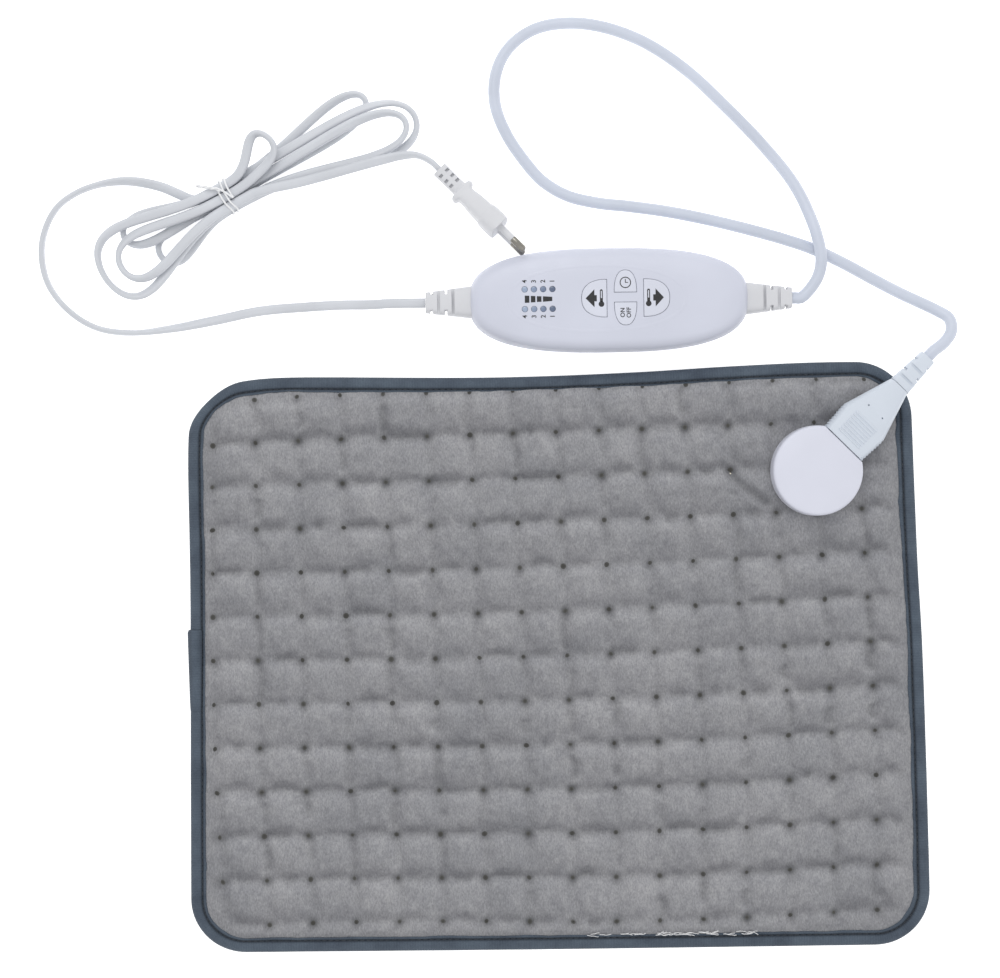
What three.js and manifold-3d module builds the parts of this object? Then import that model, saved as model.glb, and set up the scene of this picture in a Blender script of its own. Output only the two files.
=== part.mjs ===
// Heating pad with a plug-in lead and a four button controller.
// Millimetres, +Z up. The pad lies on z = 0 with its centre on the origin, +X along its long side and
// +Y towards the controller.
import * as THREE from 'three';
import { mergeVertices } from 'three/addons/utils/BufferGeometryUtils.js';
import Module from 'manifold-3d';

const wasm = await Module();
wasm.setup();

// Clearances
const FIT = 0.3;
const SLIDE = 0.4;

// Pad
const PAD_LENGTH = 400;
const PAD_WIDTH = 320;
const PAD_CORNER = 30;
const BACK_THICKNESS = 2.4;
const FELT_THICKNESS = 0.8;
const COVER_SKIN = 1.1;
const TUFT_DEPTH = 3;
const CREASE_DEPTH = 1.2;
const TUFT_PITCH_X = 24.3;
const TUFT_PITCH_Y = 24.7;
const TUFT_MARGIN_LEFT = 12;
const TUFT_MARGIN_RIGHT = 22;
const TUFT_MARGIN_FRONT = 16;
const TUFT_MARGIN_BACK = 28;
const RIM_THICKNESS = 3;
const BINDING_WIDTH = 8;
const BINDING_THICKNESS = 1;
const LAP_LENGTH = 45;
const LAP_TOP = 20;
const LAP_THICKNESS = 0.8;
const FIELD_MARGIN = 16;
const WIRE_DIAMETER = 2;
const WIRE_PITCH = 28;
const WIRE_MARGIN = 8;
const THERMOSTAT_LENGTH = 24;
const THERMOSTAT_WIDTH = 8;

// Socket on the pad and the connector in it; their own x axis is the way the connector pulls out
const SOCKET_INSET_X = 54;
const SOCKET_INSET_Y = 58.5;
const CONNECTOR_ANGLE = 44;
const SOCKET_RADIUS = 25;
const SOCKET_HEIGHT = 13.4;
const SOCKET_EDGE = 3;
const SOCKET_SEAT = 0.6;
const SOCKET_FACE = 20.3;
const NECK_RADIUS = 7;
const PLATE_RADIUS = 20;
const SOCKET_SCREW_X = -12;
const SOCKET_SCREW_Y = 9;
const SOCKET_SCREW_LENGTH = 10;
const SOCKET_SCREW_HEAD_HEIGHT = 1.1;
const NOSE_DEPTH = 13;
const NOSE_WIDTH = 18.2;
const NOSE_HEIGHT = 6.5;
const PIN_PITCH = 6;
const PIN_RADIUS = 1;
const PIN_REACH = 10;
const PIN_ROOT = 4;
const CONTACT_WALL = 0.7;
const CONTACT_LENGTH = 16;
const CONNECTOR_LENGTH = 44;
const CONNECTOR_WIDTH = 28.2;
const CONNECTOR_SHOULDER = 15.5;
const CONNECTOR_SHOULDER_WIDTH = 30;
const CONNECTOR_TAIL_WIDTH = 12.2;
const CONNECTOR_HEIGHT = 10;
const CONNECTOR_EDGE = 1.2;
const CONNECTOR_WALL = 2;
const NOSE_GRIP = 14;
const GRIP_RIBS = 8;
const GRIP_RIB_PITCH = 1.9;
const GRIP_RIB_LENGTH = 15.4;
const GRIP_RIB_HEIGHT = 0.5;
const GRIP_START = 3.4;
const CONNECTOR_RELIEF_LENGTH = 22;
const CONNECTOR_RELIEF_TIP = 9.4;
const CONNECTOR_RELIEF_INSIDE = 8;

// Controller; its own x axis is its length, and its underside is z = 0
const CONTROLLER_X = 34.2;
const CONTROLLER_GAP = 10.1;
const CONTROLLER_ANGLE = -0.9;
const CONTROLLER_LENGTH = 154;
const CONTROLLER_WIDTH = 57.6;
const CONTROLLER_HEIGHT = 26;
const CONTROLLER_SPLIT = 11;
const CONTROLLER_POWER = 2.7;
const CASE_WALL = 2;
const BOARD_LEVEL = 9;
const BOARD_THICKNESS = 1.6;
const BOARD_MARGIN = 8;
const BOARD_END_GAP = 0.8;
const BOARD_POST_INSET_X = 7;
const BOARD_POST_INSET = 5;
const BOARD_POST_RADIUS = 2.2;
const CASE_SCREW_INSET_X = 25;
const CASE_SCREW_INSET_Y = 15.8;
const CASE_SCREW_RADIUS = 1.3;
const CASE_SCREW_HEAD = 2.7;
const CASE_SCREW_HEAD_HEIGHT = 2;
const CASE_SCREW_RECESS = 1;
const CASE_SCREW_LENGTH = 17;
const CASE_BOSS_RADIUS = 4.2;
const CAPACITOR_SIZE = [12, 8, 9];
const TRIAC_SIZE = [10, 5, 8];
const CHIP_SIZE = [8, 6, 2];
const POWER_PART_INSET = 8;
const POWER_PART_Y = 8;
const CHIP_X = -22;
const BUTTON_GAP = 0.35;
const BUTTON_RISE = 0.4;
const BUTTON_TRAVEL = 0.8;
const BUTTON_FLANGE = 0.9;
const BUTTON_FLANGE_THICKNESS = 1;
const BUTTON_STEM_RADIUS = 2;
const SIDE_BUTTON_SPAN = 20.5;
const MIDDLE_BUTTON_SPAN = 12.2;
const BUTTON_POWER = 2.4;
const SWITCH_WIDTH = 6;
const SWITCH_HEIGHT = 3.6;
const PLUNGER_RADIUS = 1.6;
const PLUNGER_LENGTH = 3;
const LIGHT_RADIUS = 1.6;
const LIGHT_PITCH = 5.05;
const LIGHT_INSET = 30.6;
const LIGHT_COUNT = 4;
const LIGHT_ROW_Y = 5.4;
const LIGHT_BAR_WIDTH = 4;
const LIGHT_BAR_HEIGHT = 6;
const LED_HEIGHT = 2.6;
const LED_BASE_HEIGHT = 1;
const CLAMP_INSET = 17;
const CLAMP_WIDTH = 5;
const CLAMP_SPAN = 18;
const CLAMP_HEIGHT = 4;
const SADDLE_TOP = 7;
const RELIEF_LENGTH = 24;
const RELIEF_COLLAR = 8;
const RELIEF_ROOT_WIDTH = 18;
const RELIEF_COLLAR_WIDTH = 15.3;
const RELIEF_TIP_WIDTH = 11.4;
const RELIEF_FLATNESS = 0.9;
const RELIEF_SPIGOT = 5;
const RELIEF_INSIDE = 11;
const RELIEF_ROOT_INSIDE = 4;
const SLOT_WIDTH = 1.5;
const SLOT_PITCH = 4;

// Cords
const PAD_CORD_DIAMETER = 6.5;
const CORD_WIDTH = 5.4;
const CORD_THICKNESS = 3.4;

// Hank of mains cord: passes through the waist in rows, joined by lobes to the right and left in turn
const WAIST_X = -174.4;
const WAIST_Y = 263;
const HANK_ANGLE = 28.3;
const HANK_COLUMNS = 3;
const HANK_PASSES = 9;
const HANK_COLUMN_GAP = 0.6;
const HANK_ROW_GAP = 1.3;
const WAIST_HALF = 6;
const LOBE_STEPS = 18;
const TIE_THICKNESS = 0.8;
const TIE_WIDTH = 5;

// Plug, standing on its narrow edge; its own x axis is the way its pins point
const PLUG_X = -56.8;
const PLUG_Y = 273;
const PLUG_ANGLE = -46;
const PLUG_LENGTH = 46;
const PLUG_WIDTH = 35;
const PLUG_TAIL_WIDTH = 9.2;
const PLUG_PIN_PITCH = 19;
const PLUG_PIN_LENGTH = 19;
const PLUG_PIN_RADIUS = 2;
const PLUG_PIN_CORE = 1.2;
const PLUG_PIN_ROOT = 8;
const PLUG_SLEEVE_RADIUS = 1.9;
const PLUG_SLEEVE_LENGTH = 10;

// Lobes of the hank as reach from the waist, half width, swing from the axis in degrees, height of the fold
const RIGHT_LOBES = [
  [92.9, 6.8, 4.8, 2.9],
  [112.5, 11.1, -7.2, 7],
  [106, 9, -6.1, 11.4],
  [38.2, 6.2, 24.5, 15],
];
const LEFT_LOBES = [
  [49.8, 6.6, 8.7, 2.9],
  [61.7, 6.3, -6.5, 8.3],
  [81.4, 15.9, 4.6, 11.9],
  [70.6, 10.2, 2.8, 14],
];

// Routes of the cords between their straight ends, chosen by hand; the flat cord also has its roll in degrees
const PAD_CORD_ROUTE = [
  [218.5, 170, 14.2], [223, 176.5, 12.2], [222.5, 183.5, 9.6], [216, 188.5, 7], [207.5, 193.2, 5],
  [197, 198.7, 3.6], [181, 207.7, 3.3], [164, 217.5, 3.3], [150, 224.5, 3.3], [134, 230.5, 3.3],
  [113, 237, 3.3], [91, 243, 3.3], [69, 248, 3.3], [48, 251.5, 3.3], [30, 254, 3.3], [13.5, 258.5, 3.3],
  [0, 267, 3.3], [-10.5, 279.5, 3.3], [-19.5, 294, 3.3], [-25, 309.5, 3.3], [-25, 324, 3.3],
  [-20.5, 336.5, 3.3], [-12, 346, 3.3], [0.5, 352.5, 3.3], [18, 354.5, 3.3], [37, 351.5, 3.3],
  [59, 342.5, 3.3], [81, 327, 3.3], [101.5, 307, 3.3], [122.5, 284, 3.3], [139, 262, 4.3], [147, 244, 7.6],
  [151, 230, 10.3], [152.5, 217, 10.9], [149.5, 207, 11],
];
const MAINS_ROUTE = [
  [-85, 201, 9, 0], [-99, 201, 5, 0], [-113, 201.5, 2.2, 0], [-134, 201, 1.8, 0], [-159.5, 199.5, 1.8, 0],
  [-185, 195, 1.9, 10], [-210, 191, 2.5, 50], [-232.5, 189.5, 2.8, 90], [-251, 193, 2.8, 90],
  [-266.5, 203.5, 2.8, 90], [-277, 218.5, 2.8, 90], [-280, 235.5, 2.8, 90], [-277.5, 248.5, 2.8, 90],
  [-271, 260, 2.8, 90], [-261, 267.5, 2.8, 90], [-247, 272.5, 2.8, 80], [-230.5, 274, 2.4, 40],
  [-213, 270.5, 2.2, 10], [-203.5, 266.3, 2.6, 0], [-195.5, 262.7, 2.9, 0],
];
const TAIL_ROUTE = [
  [-150, 266.2, 12.9, 0], [-135.8, 268.6, 13.5, 0], [-122.2, 271.6, 14.1, 0], [-104.9, 275.8, 14.7, 0],
  [-89.5, 279.4, 15.2, 20], [-78, 281.5, 15.9, 50], [-68.5, 281.2, 17.2, 80],
];

const PAD_CORD_STEPS = 58;
const MAINS_STEPS = 46;
const TAIL_STEPS = 14;

// Levels in the pad, from the surface up
const feltBottom = BACK_THICKNESS + FIT;
const feltTop = feltBottom + FELT_THICKNESS;
const wireLevel = feltTop + FIT + WIRE_DIAMETER / 2;
const fieldCeiling = wireLevel + WIRE_DIAMETER / 2 + FIT;
const tuftLevel = fieldCeiling + COVER_SKIN;
const crownLevel = tuftLevel + TUFT_DEPTH;
const coverBottom = BACK_THICKNESS + FIT;
const rimTop = coverBottom + RIM_THICKNESS;
const bindingTop = rimTop + FIT + BINDING_THICKNESS;
const seatLevel = tuftLevel + SOCKET_SEAT;
const coverInset = BINDING_THICKNESS + FIT;

// Places of the socket and of the connector's axis
const socketX = PAD_LENGTH / 2 - SOCKET_INSET_X;
const socketY = PAD_WIDTH / 2 - SOCKET_INSET_Y;
const socketBase = seatLevel + FIT;
const connectorBottom = crownLevel + FIT - socketBase;
const connectorAxis = connectorBottom + CONNECTOR_HEIGHT / 2;
const connectorStart = SOCKET_FACE + FIT;
const connectorEnd = connectorStart + CONNECTOR_LENGTH;
const contactRadius = PIN_RADIUS + FIT + CONTACT_WALL;

// Places in the controller, from its ends and sides
const controllerY = PAD_WIDTH / 2 + CONTROLLER_GAP + CONTROLLER_WIDTH / 2;
const screwX = CONTROLLER_LENGTH / 2 - CASE_SCREW_INSET_X;
const screwY = CONTROLLER_WIDTH / 2 - CASE_SCREW_INSET_Y;
const boardHalfLength = screwX - CASE_BOSS_RADIUS - BOARD_END_GAP;
const boardHalfWidth = CONTROLLER_WIDTH / 2 - CASE_WALL - BOARD_MARGIN;
const clampX = CONTROLLER_LENGTH / 2 - CLAMP_INSET;
const firstLightX = LIGHT_INSET - CONTROLLER_LENGTH / 2;
const lastLightX = firstLightX + (LIGHT_COUNT - 1) * LIGHT_PITCH;
const reliefTip = CONTROLLER_LENGTH / 2 + RELIEF_LENGTH;

// Heights in the controller
const boardTop = BOARD_LEVEL + BOARD_THICKNESS;
const switchTop = boardTop + FIT + SWITCH_HEIGHT;
const wellFloor = switchTop - BUTTON_TRAVEL - FIT - PLUNGER_LENGTH / 2;
const plungerBottom = wellFloor + BUTTON_TRAVEL + FIT;
const plungerTop = plungerBottom + PLUNGER_LENGTH;
const flangeTop = CONTROLLER_HEIGHT - CASE_WALL - BUTTON_FLANGE;
const lightBarBottom = boardTop + FIT + LED_BASE_HEIGHT + LED_HEIGHT + FIT;

// Materials
function finish(color, roughness, metalness = 0) {
  return new THREE.MeshStandardMaterial({ color, roughness, metalness });
}

const plush = () => finish('#929396', 0.95);
const feltCloth = () => finish('#d9d6cc', 0.95);
const bindingTape = () => finish('#54626d', 0.85);
const whitePlastic = () => finish('#eceff4', 0.4);
const buttonPlastic = () => finish('#f3f4f6', 0.5);
const cordPlastic = () => finish('#e9edf2', 0.45);
const wireSheath = () => finish('#d8d2c2', 0.6);
const clearPlastic = () => finish('#a9b6c6', 0.25);
const boardLaminate = () => finish('#2f6a46', 0.5);
const blackPlastic = () => finish('#1d1e20', 0.5);
const filmPlastic = () => finish('#c9b54a', 0.45);
const brass = () => finish('#c9a85a', 0.35, 1);
const steel = () => finish('#c4c6c8', 0.3, 1);
const tieWire = () => finish('#f2f2f0', 0.5);

const part = new THREE.Group();

function add(parent, name, geometry, material) {
  const mesh = new THREE.Mesh(geometry, material);
  mesh.name = name;
  parent.add(mesh);
}

function group(parent, x, y, z, degrees) {
  const made = new THREE.Group();
  made.position.set(x, y, z);
  made.rotation.z = THREE.MathUtils.degToRad(degrees);
  parent.add(made);
  return made;
}

// Solids: welding, cutting and joining closed meshes
function weld(geometry) {
  const bare = geometry.clone();
  bare.deleteAttribute('normal');
  bare.deleteAttribute('uv');
  return mergeVertices(bare, 1e-4);
}

function toSolid(geometry) {
  const welded = weld(geometry);
  const vertProperties = Float32Array.from(welded.attributes.position.array);
  const triVerts = Uint32Array.from(welded.index.array);
  return new wasm.Manifold(new wasm.Mesh({ numProp: 3, vertProperties, triVerts }));
}

function toGeometry(solid) {
  const mesh = solid.getMesh();
  const geometry = new THREE.BufferGeometry();
  geometry.setAttribute('position', new THREE.BufferAttribute(mesh.vertProperties, 3));
  geometry.setIndex(new THREE.BufferAttribute(mesh.triVerts, 1));
  return geometry;
}

function cut(base, tools) {
  return toGeometry(tools.reduce((solid, tool) => solid.subtract(toSolid(tool)), toSolid(base)));
}

function join(pieces) {
  const [first, ...rest] = pieces.map(toSolid);
  return toGeometry(rest.reduce((solid, piece) => solid.add(piece), first));
}

function overlap(one, other) {
  return toGeometry(toSolid(one).intersect(toSolid(other)));
}

// Plain forms
function block(x0, x1, y0, y1, z0, z1) {
  const box = new THREE.BoxGeometry(x1 - x0, y1 - y0, z1 - z0);
  return box.translate((x0 + x1) / 2, (y0 + y1) / 2, (z0 + z1) / 2);
}

function post(x, y, radius, z0, z1, sides = 12) {
  const cylinder = new THREE.CylinderGeometry(radius, radius, z1 - z0, sides);
  return cylinder.rotateX(Math.PI / 2).translate(x, y, (z0 + z1) / 2);
}

function rod(y, z, radius, x0, x1, sides = 12) {
  const cylinder = new THREE.CylinderGeometry(radius, radius, x1 - x0, sides);
  return cylinder.rotateZ(Math.PI / 2).translate((x0 + x1) / 2, y, z);
}

function slab(shape, z0, z1, curveSegments = 5) {
  const options = { depth: z1 - z0, bevelEnabled: false, curveSegments };
  return new THREE.ExtrudeGeometry(shape, options).translate(0, 0, z0);
}

function turned(profile, sides) {
  const points = profile.map(([radius, height]) => new THREE.Vector2(radius, height));
  return new THREE.LatheGeometry(points, sides).rotateX(Math.PI / 2);
}

function roundedOutline(halfX, halfY, radius) {
  const shape = new THREE.Shape();
  shape.absarc(halfX - radius, halfY - radius, radius, 0, Math.PI / 2);
  shape.absarc(radius - halfX, halfY - radius, radius, Math.PI / 2, Math.PI);
  shape.absarc(radius - halfX, radius - halfY, radius, Math.PI, 1.5 * Math.PI);
  shape.absarc(halfX - radius, radius - halfY, radius, 1.5 * Math.PI, 2 * Math.PI);
  return shape;
}

function padOutline(inset) {
  const corner = PAD_CORNER - Math.min(inset, PAD_CORNER / 2);
  return roundedOutline(PAD_LENGTH / 2 - inset, PAD_WIDTH / 2 - inset, corner);
}

function padRing(outerInset, innerInset, z0, z1) {
  return cut(slab(padOutline(outerInset), z0, z1), [slab(padOutline(innerInset), z0 - 1, z1 + 1)]);
}

// A closed skin over rings that each have the same count of points
function lofted(rings) {
  const count = rings[0].length;
  const points = rings.flat();
  const total = (ring) => ring.reduce((sum, point) => sum.add(point), new THREE.Vector3());
  const middle = (ring) => total(ring).divideScalar(count);
  points.push(middle(rings[0]), middle(rings[rings.length - 1]));
  const first = points.length - 2;
  const last = points.length - 1;
  const index = [];
  for (let side = 0; side < count; side += 1) {
    const next = (side + 1) % count;
    for (let ring = 0; ring + 1 < rings.length; ring += 1) {
      const low = ring * count;
      const high = low + count;
      index.push(low + side, low + next, high + next, low + side, high + next, high + side);
    }
    const top = (rings.length - 1) * count;
    index.push(first, next, side, last, top + side, top + next);
  }
  const geometry = new THREE.BufferGeometry().setFromPoints(points);
  geometry.setIndex(index);
  return geometry;
}

function superPoint(angle, halfA, halfB, power) {
  const soften = (value) => Math.sign(value) * Math.abs(value) ** (2 / power);
  return [halfA * soften(Math.cos(angle)), halfB * soften(Math.sin(angle))];
}

function levelRing(halfX, halfY, z, power, count) {
  return Array.from({ length: count }, (_, side) => {
    const [x, y] = superPoint((2 * Math.PI * side) / count, halfX, halfY, power);
    return new THREE.Vector3(x, y, z);
  });
}

function crossRing(x, halfY, halfZ, power, count) {
  return Array.from({ length: count }, (_, side) => {
    const [y, z] = superPoint((2 * Math.PI * side) / count, halfY, halfZ, power);
    return new THREE.Vector3(x, y, z);
  });
}

// A route with a section frame at each point, turned by its roll about the way it runs
class Route extends THREE.Curve {
  constructor(points, rolls, tangents) {
    super();
    this.points = points;
    this.rolls = rolls;
    this.tangents = tangents;
  }

  getSpacedPoints() {
    return this.points;
  }

  computeFrenetFrames() {
    const { tangents } = this;
    const normals = tangents.map((tangent, i) => {
      const side = new THREE.Vector3(0, 0, 1).cross(tangent).normalize();
      return side.applyAxisAngle(tangent, this.rolls[i]);
    });
    const binormals = tangents.map((tangent, i) => tangent.clone().cross(normals[i]));
    return { tangents, normals, binormals };
  }
}

function polylineTangents(points) {
  return points.map((_, i) => {
    const before = points[Math.max(i - 1, 0)];
    const after = points[Math.min(i + 1, points.length - 1)];
    return after.clone().sub(before).normalize();
  });
}

function ovalSection(width, thickness, sides) {
  const corner = (_, side) => {
    const angle = (2 * Math.PI * side) / sides;
    return new THREE.Vector2((width / 2) * Math.cos(angle), (thickness / 2) * Math.sin(angle));
  };
  return new THREE.Shape(Array.from({ length: sides }, corner));
}

function tube(route, section) {
  return new THREE.ExtrudeGeometry(section, { extrudePath: route, steps: route.points.length - 1 });
}

// A smooth route through chosen points, whose fourth number is the roll in degrees
function smoothRoute(chosen, steps) {
  const curve = new THREE.CatmullRomCurve3(chosen.map(([x, y, z]) => new THREE.Vector3(x, y, z)));
  const points = curve.getSpacedPoints(steps);
  const rolls = points.map((_, i) => {
    const along = curve.getUtoTmapping(i / steps) * (chosen.length - 1);
    const before = Math.min(Math.floor(along), chosen.length - 2);
    const degrees = THREE.MathUtils.lerp(chosen[before][3] ?? 0, chosen[before + 1][3] ?? 0, along - before);
    return THREE.MathUtils.degToRad(degrees);
  });
  return new Route(points, rolls, points.map((_, i) => curve.getTangentAt(i / steps)));
}

function routeLength(route) {
  return route.points.slice(1).reduce((sum, point, i) => sum + point.distanceTo(route.points[i]), 0);
}

// Pad: back cover, felt, wire, front cover and binding
function backCover() {
  const panel = slab(padOutline(coverInset), 0, BACK_THICKNESS);
  return cut(panel, [padRing(-1, BINDING_WIDTH + FIT, -1, BINDING_THICKNESS + FIT)]);
}

function carrierFelt() {
  return slab(padOutline(FIELD_MARGIN + FIT), feltBottom, feltTop, 3);
}

function wireField() {
  const halfX = PAD_LENGTH / 2 - FIELD_MARGIN - WIRE_MARGIN;
  const halfY = PAD_WIDTH / 2 - FIELD_MARGIN - WIRE_MARGIN;
  const rows = 1 + Math.floor((socketY + halfY) / WIRE_PITCH);
  return { halfX, rows };
}

function heatingWire() {
  const { halfX, rows } = wireField();
  const bend = WIRE_PITCH / 2;
  const arcSteps = 6;
  const points = [new THREE.Vector3(socketX - PLATE_RADIUS - FIT, socketY, wireLevel)];
  for (let row = 0; row + 1 < rows; row += 1) {
    const side = row % 2 === 0 ? -1 : 1;
    for (let step = 0; step <= arcSteps; step += 1) {
      const angle = Math.PI * (step / arcSteps);
      const x = side * (halfX - bend + bend * Math.sin(angle));
      const y = socketY - row * WIRE_PITCH - bend + bend * Math.cos(angle);
      points.push(new THREE.Vector3(x, y, wireLevel));
    }
  }
  const lastSide = rows % 2 === 0 ? 1 : -1;
  points.push(new THREE.Vector3(lastSide * halfX, socketY - (rows - 1) * WIRE_PITCH, wireLevel));
  const route = new Route(points, points.map(() => 0), polylineTangents(points));
  return tube(route, ovalSection(WIRE_DIAMETER, WIRE_DIAMETER, 6));
}

function thermostat() {
  const y = socketY - WIRE_PITCH / 2;
  const halfX = THERMOSTAT_LENGTH / 2;
  const halfY = THERMOSTAT_WIDTH / 2;
  return block(-halfX, halfX, y - halfY, y + halfY, feltTop + FIT, fieldCeiling - FIT);
}

// Lines across the pad that run through the tufts and half way between them
function quiltLines(half, firstMargin, lastMargin, pitch) {
  const first = firstMargin - half;
  const edge = half - coverInset;
  const lip = half - BINDING_WIDTH - FIT;
  const count = 1 + Math.floor((2 * half - firstMargin - lastMargin) / pitch);
  const last = first + (count - 1) * pitch;
  const lines = [{ at: -edge, kind: 'edge' }, { at: -lip, kind: 'edge' }];
  if (first + lip > pitch) {
    lines.push({ at: (first - lip) / 2, kind: 'crown' });
  }
  for (let tuft = 0; tuft < count; tuft += 1) {
    lines.push({ at: first + tuft * pitch, kind: 'tuft' });
    if (tuft + 1 < count) {
      lines.push({ at: first + (tuft + 0.5) * pitch, kind: 'crown' });
    }
  }
  if (lip - last > pitch) {
    lines.push({ at: (last + lip) / 2, kind: 'crown' });
  }
  lines.push({ at: lip, kind: 'edge' }, { at: edge, kind: 'edge' });
  return lines;
}

function quiltHeight(kindX, kindY) {
  if (kindX === 'edge' || kindY === 'edge') {
    return rimTop;
  }
  if (kindX === 'tuft' && kindY === 'tuft') {
    return tuftLevel;
  }
  return kindX === kindY ? crownLevel : crownLevel - CREASE_DEPTH;
}

// Moves a point of a square cornered grid on to the pad's rounded corner, at the same distance from the edge
function roundCorner(x, y) {
  const straightX = PAD_LENGTH / 2 - PAD_CORNER;
  const straightY = PAD_WIDTH / 2 - PAD_CORNER;
  const a = Math.abs(x) - straightX;
  const b = Math.abs(y) - straightY;
  if (a <= 0 || b <= 0) {
    return [x, y];
  }
  const angle = a > b ? (Math.PI / 4) * (b / a) : Math.PI / 2 - (Math.PI / 4) * (a / b);
  const radius = Math.max(a, b);
  const roundedX = straightX + radius * Math.cos(angle);
  const roundedY = straightY + radius * Math.sin(angle);
  return [Math.sign(x) * roundedX, Math.sign(y) * roundedY];
}

function quiltedPanel() {
  const columns = quiltLines(PAD_LENGTH / 2, TUFT_MARGIN_LEFT, TUFT_MARGIN_RIGHT, TUFT_PITCH_X);
  const rows = quiltLines(PAD_WIDTH / 2, TUFT_MARGIN_FRONT, TUFT_MARGIN_BACK, TUFT_PITCH_Y);
  const wide = columns.length;
  const deep = rows.length;
  const points = rows.flatMap((row) => columns.map((column) => {
    const [x, y] = roundCorner(column.at, row.at);
    return new THREE.Vector3(x, y, quiltHeight(column.kind, row.kind));
  }));
  const index = [];
  for (let j = 0; j + 1 < deep; j += 1) {
    for (let i = 0; i + 1 < wide; i += 1) {
      const a = j * wide + i;
      const c = a + wide;
      const flip = (columns[i].kind === 'tuft') === (rows[j].kind === 'tuft');
      index.push(...(flip ? [a, a + 1, c + 1, a, c + 1, c] : [a, a + 1, c, a + 1, c + 1, c]));
    }
  }
  const edge = [];
  for (let i = 0; i + 1 < wide; i += 1) {
    edge.push(i);
  }
  for (let j = 0; j + 1 < deep; j += 1) {
    edge.push(j * wide + wide - 1);
  }
  for (let i = wide - 1; i > 0; i -= 1) {
    edge.push((deep - 1) * wide + i);
  }
  for (let j = deep - 1; j > 0; j -= 1) {
    edge.push(j * wide);
  }
  const under = points.length;
  edge.forEach((top) => points.push(new THREE.Vector3(points[top].x, points[top].y, coverBottom)));
  const centre = points.length;
  points.push(new THREE.Vector3(0, 0, coverBottom));
  edge.forEach((top, i) => {
    const next = (i + 1) % edge.length;
    index.push(under + i, under + next, edge[next]);
    index.push(under + i, edge[next], top);
    index.push(centre, under + next, under + i);
  });
  const geometry = new THREE.BufferGeometry().setFromPoints(points);
  geometry.setIndex(index);
  return geometry;
}

function turnedPoint(x, y, degrees) {
  const angle = THREE.MathUtils.degToRad(degrees);
  return [x * Math.cos(angle) - y * Math.sin(angle), x * Math.sin(angle) + y * Math.cos(angle)];
}

function socketPoint(x, y) {
  const [dx, dy] = turnedPoint(x, y, CONNECTOR_ANGLE);
  return [socketX + dx, socketY + dy];
}

function socketScrewSpots() {
  return [[SOCKET_SCREW_X, SOCKET_SCREW_Y], [SOCKET_SCREW_X, -SOCKET_SCREW_Y]];
}

function frontCover() {
  const above = crownLevel + 1;
  const holes = socketScrewSpots().map(([x, y]) => {
    const [padX, padY] = socketPoint(x, y);
    return post(padX, padY, CASE_SCREW_RADIUS + 2 * FIT, coverBottom, above, 5);
  });
  return cut(quiltedPanel(), [
    slab(padOutline(FIELD_MARGIN), coverBottom - 1, fieldCeiling, 3),
    post(socketX, socketY, SOCKET_RADIUS + 4 * FIT, seatLevel, above, 12),
    post(socketX, socketY, NECK_RADIUS + 2 * FIT, coverBottom, above, 10),
    ...holes,
  ]);
}

function edgeBinding() {
  const grip = slab(padOutline(BINDING_THICKNESS), BINDING_THICKNESS, bindingTop - BINDING_THICKNESS);
  return cut(padRing(0, BINDING_WIDTH, 0, bindingTop), [grip]);
}

function bindingLap() {
  const outside = -PAD_LENGTH / 2 - FIT - LAP_THICKNESS;
  const top = bindingTop + FIT + LAP_THICKNESS;
  const bottom = LAP_TOP - LAP_LENGTH;
  const wall = block(outside, outside + LAP_THICKNESS, bottom, LAP_TOP, FIT, top);
  const lid = block(outside, BINDING_WIDTH - PAD_LENGTH / 2, bottom, LAP_TOP, top - LAP_THICKNESS, top);
  return join([wall, lid]);
}

function makePad() {
  add(part, 'back_cover', backCover(), plush());
  add(part, 'carrier_felt', carrierFelt(), feltCloth());
  add(part, 'heating_wire', heatingWire(), wireSheath());
  add(part, 'thermostat', thermostat(), blackPlastic());
  add(part, 'front_cover', frontCover(), plush());
  add(part, 'edge_binding', edgeBinding(), bindingTape());
  add(part, 'binding_lap', bindingLap(), bindingTape());
}

// Socket: housing, back plate, pins and screws
function pinRows() {
  return [-PIN_PITCH, 0, PIN_PITCH];
}

function socketHousing() {
  const edge = Array.from({ length: 5 }, (_, step) => {
    const angle = (Math.PI / 2) * (step / 4);
    const radius = SOCKET_RADIUS - SOCKET_EDGE * (1 - Math.cos(angle));
    return [radius, SOCKET_HEIGHT - SOCKET_EDGE * (1 - Math.sin(angle))];
  });
  const drum = turned([[0, 0], [SOCKET_RADIUS, 0], ...edge, [0, SOCKET_HEIGHT]], 36);
  const neck = post(0, 0, NECK_RADIUS, fieldCeiling - socketBase, 1);
  const slotX = SOCKET_FACE - NOSE_DEPTH;
  const halfY = NOSE_WIDTH / 2 + SLIDE;
  const halfZ = NOSE_HEIGHT / 2 + SLIDE;
  const beyond = SOCKET_RADIUS + 1;
  const pinHole = PIN_RADIUS + FIT;
  const screwHole = CASE_SCREW_RADIUS + FIT;
  const pinHoles = pinRows().map((y) => rod(y, connectorAxis, pinHole, slotX - PIN_ROOT, slotX + 1, 10));
  const screwHoles = socketScrewSpots().map(([x, y]) => post(x, y, screwHole, -1, SOCKET_SCREW_LENGTH, 10));
  return cut(join([drum, neck]), [
    block(SOCKET_FACE, beyond, -beyond, beyond, -1, SOCKET_HEIGHT + 1),
    block(slotX, beyond, -halfY, halfY, connectorAxis - halfZ, connectorAxis + halfZ),
    ...pinHoles,
    ...screwHoles,
  ]);
}

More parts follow.
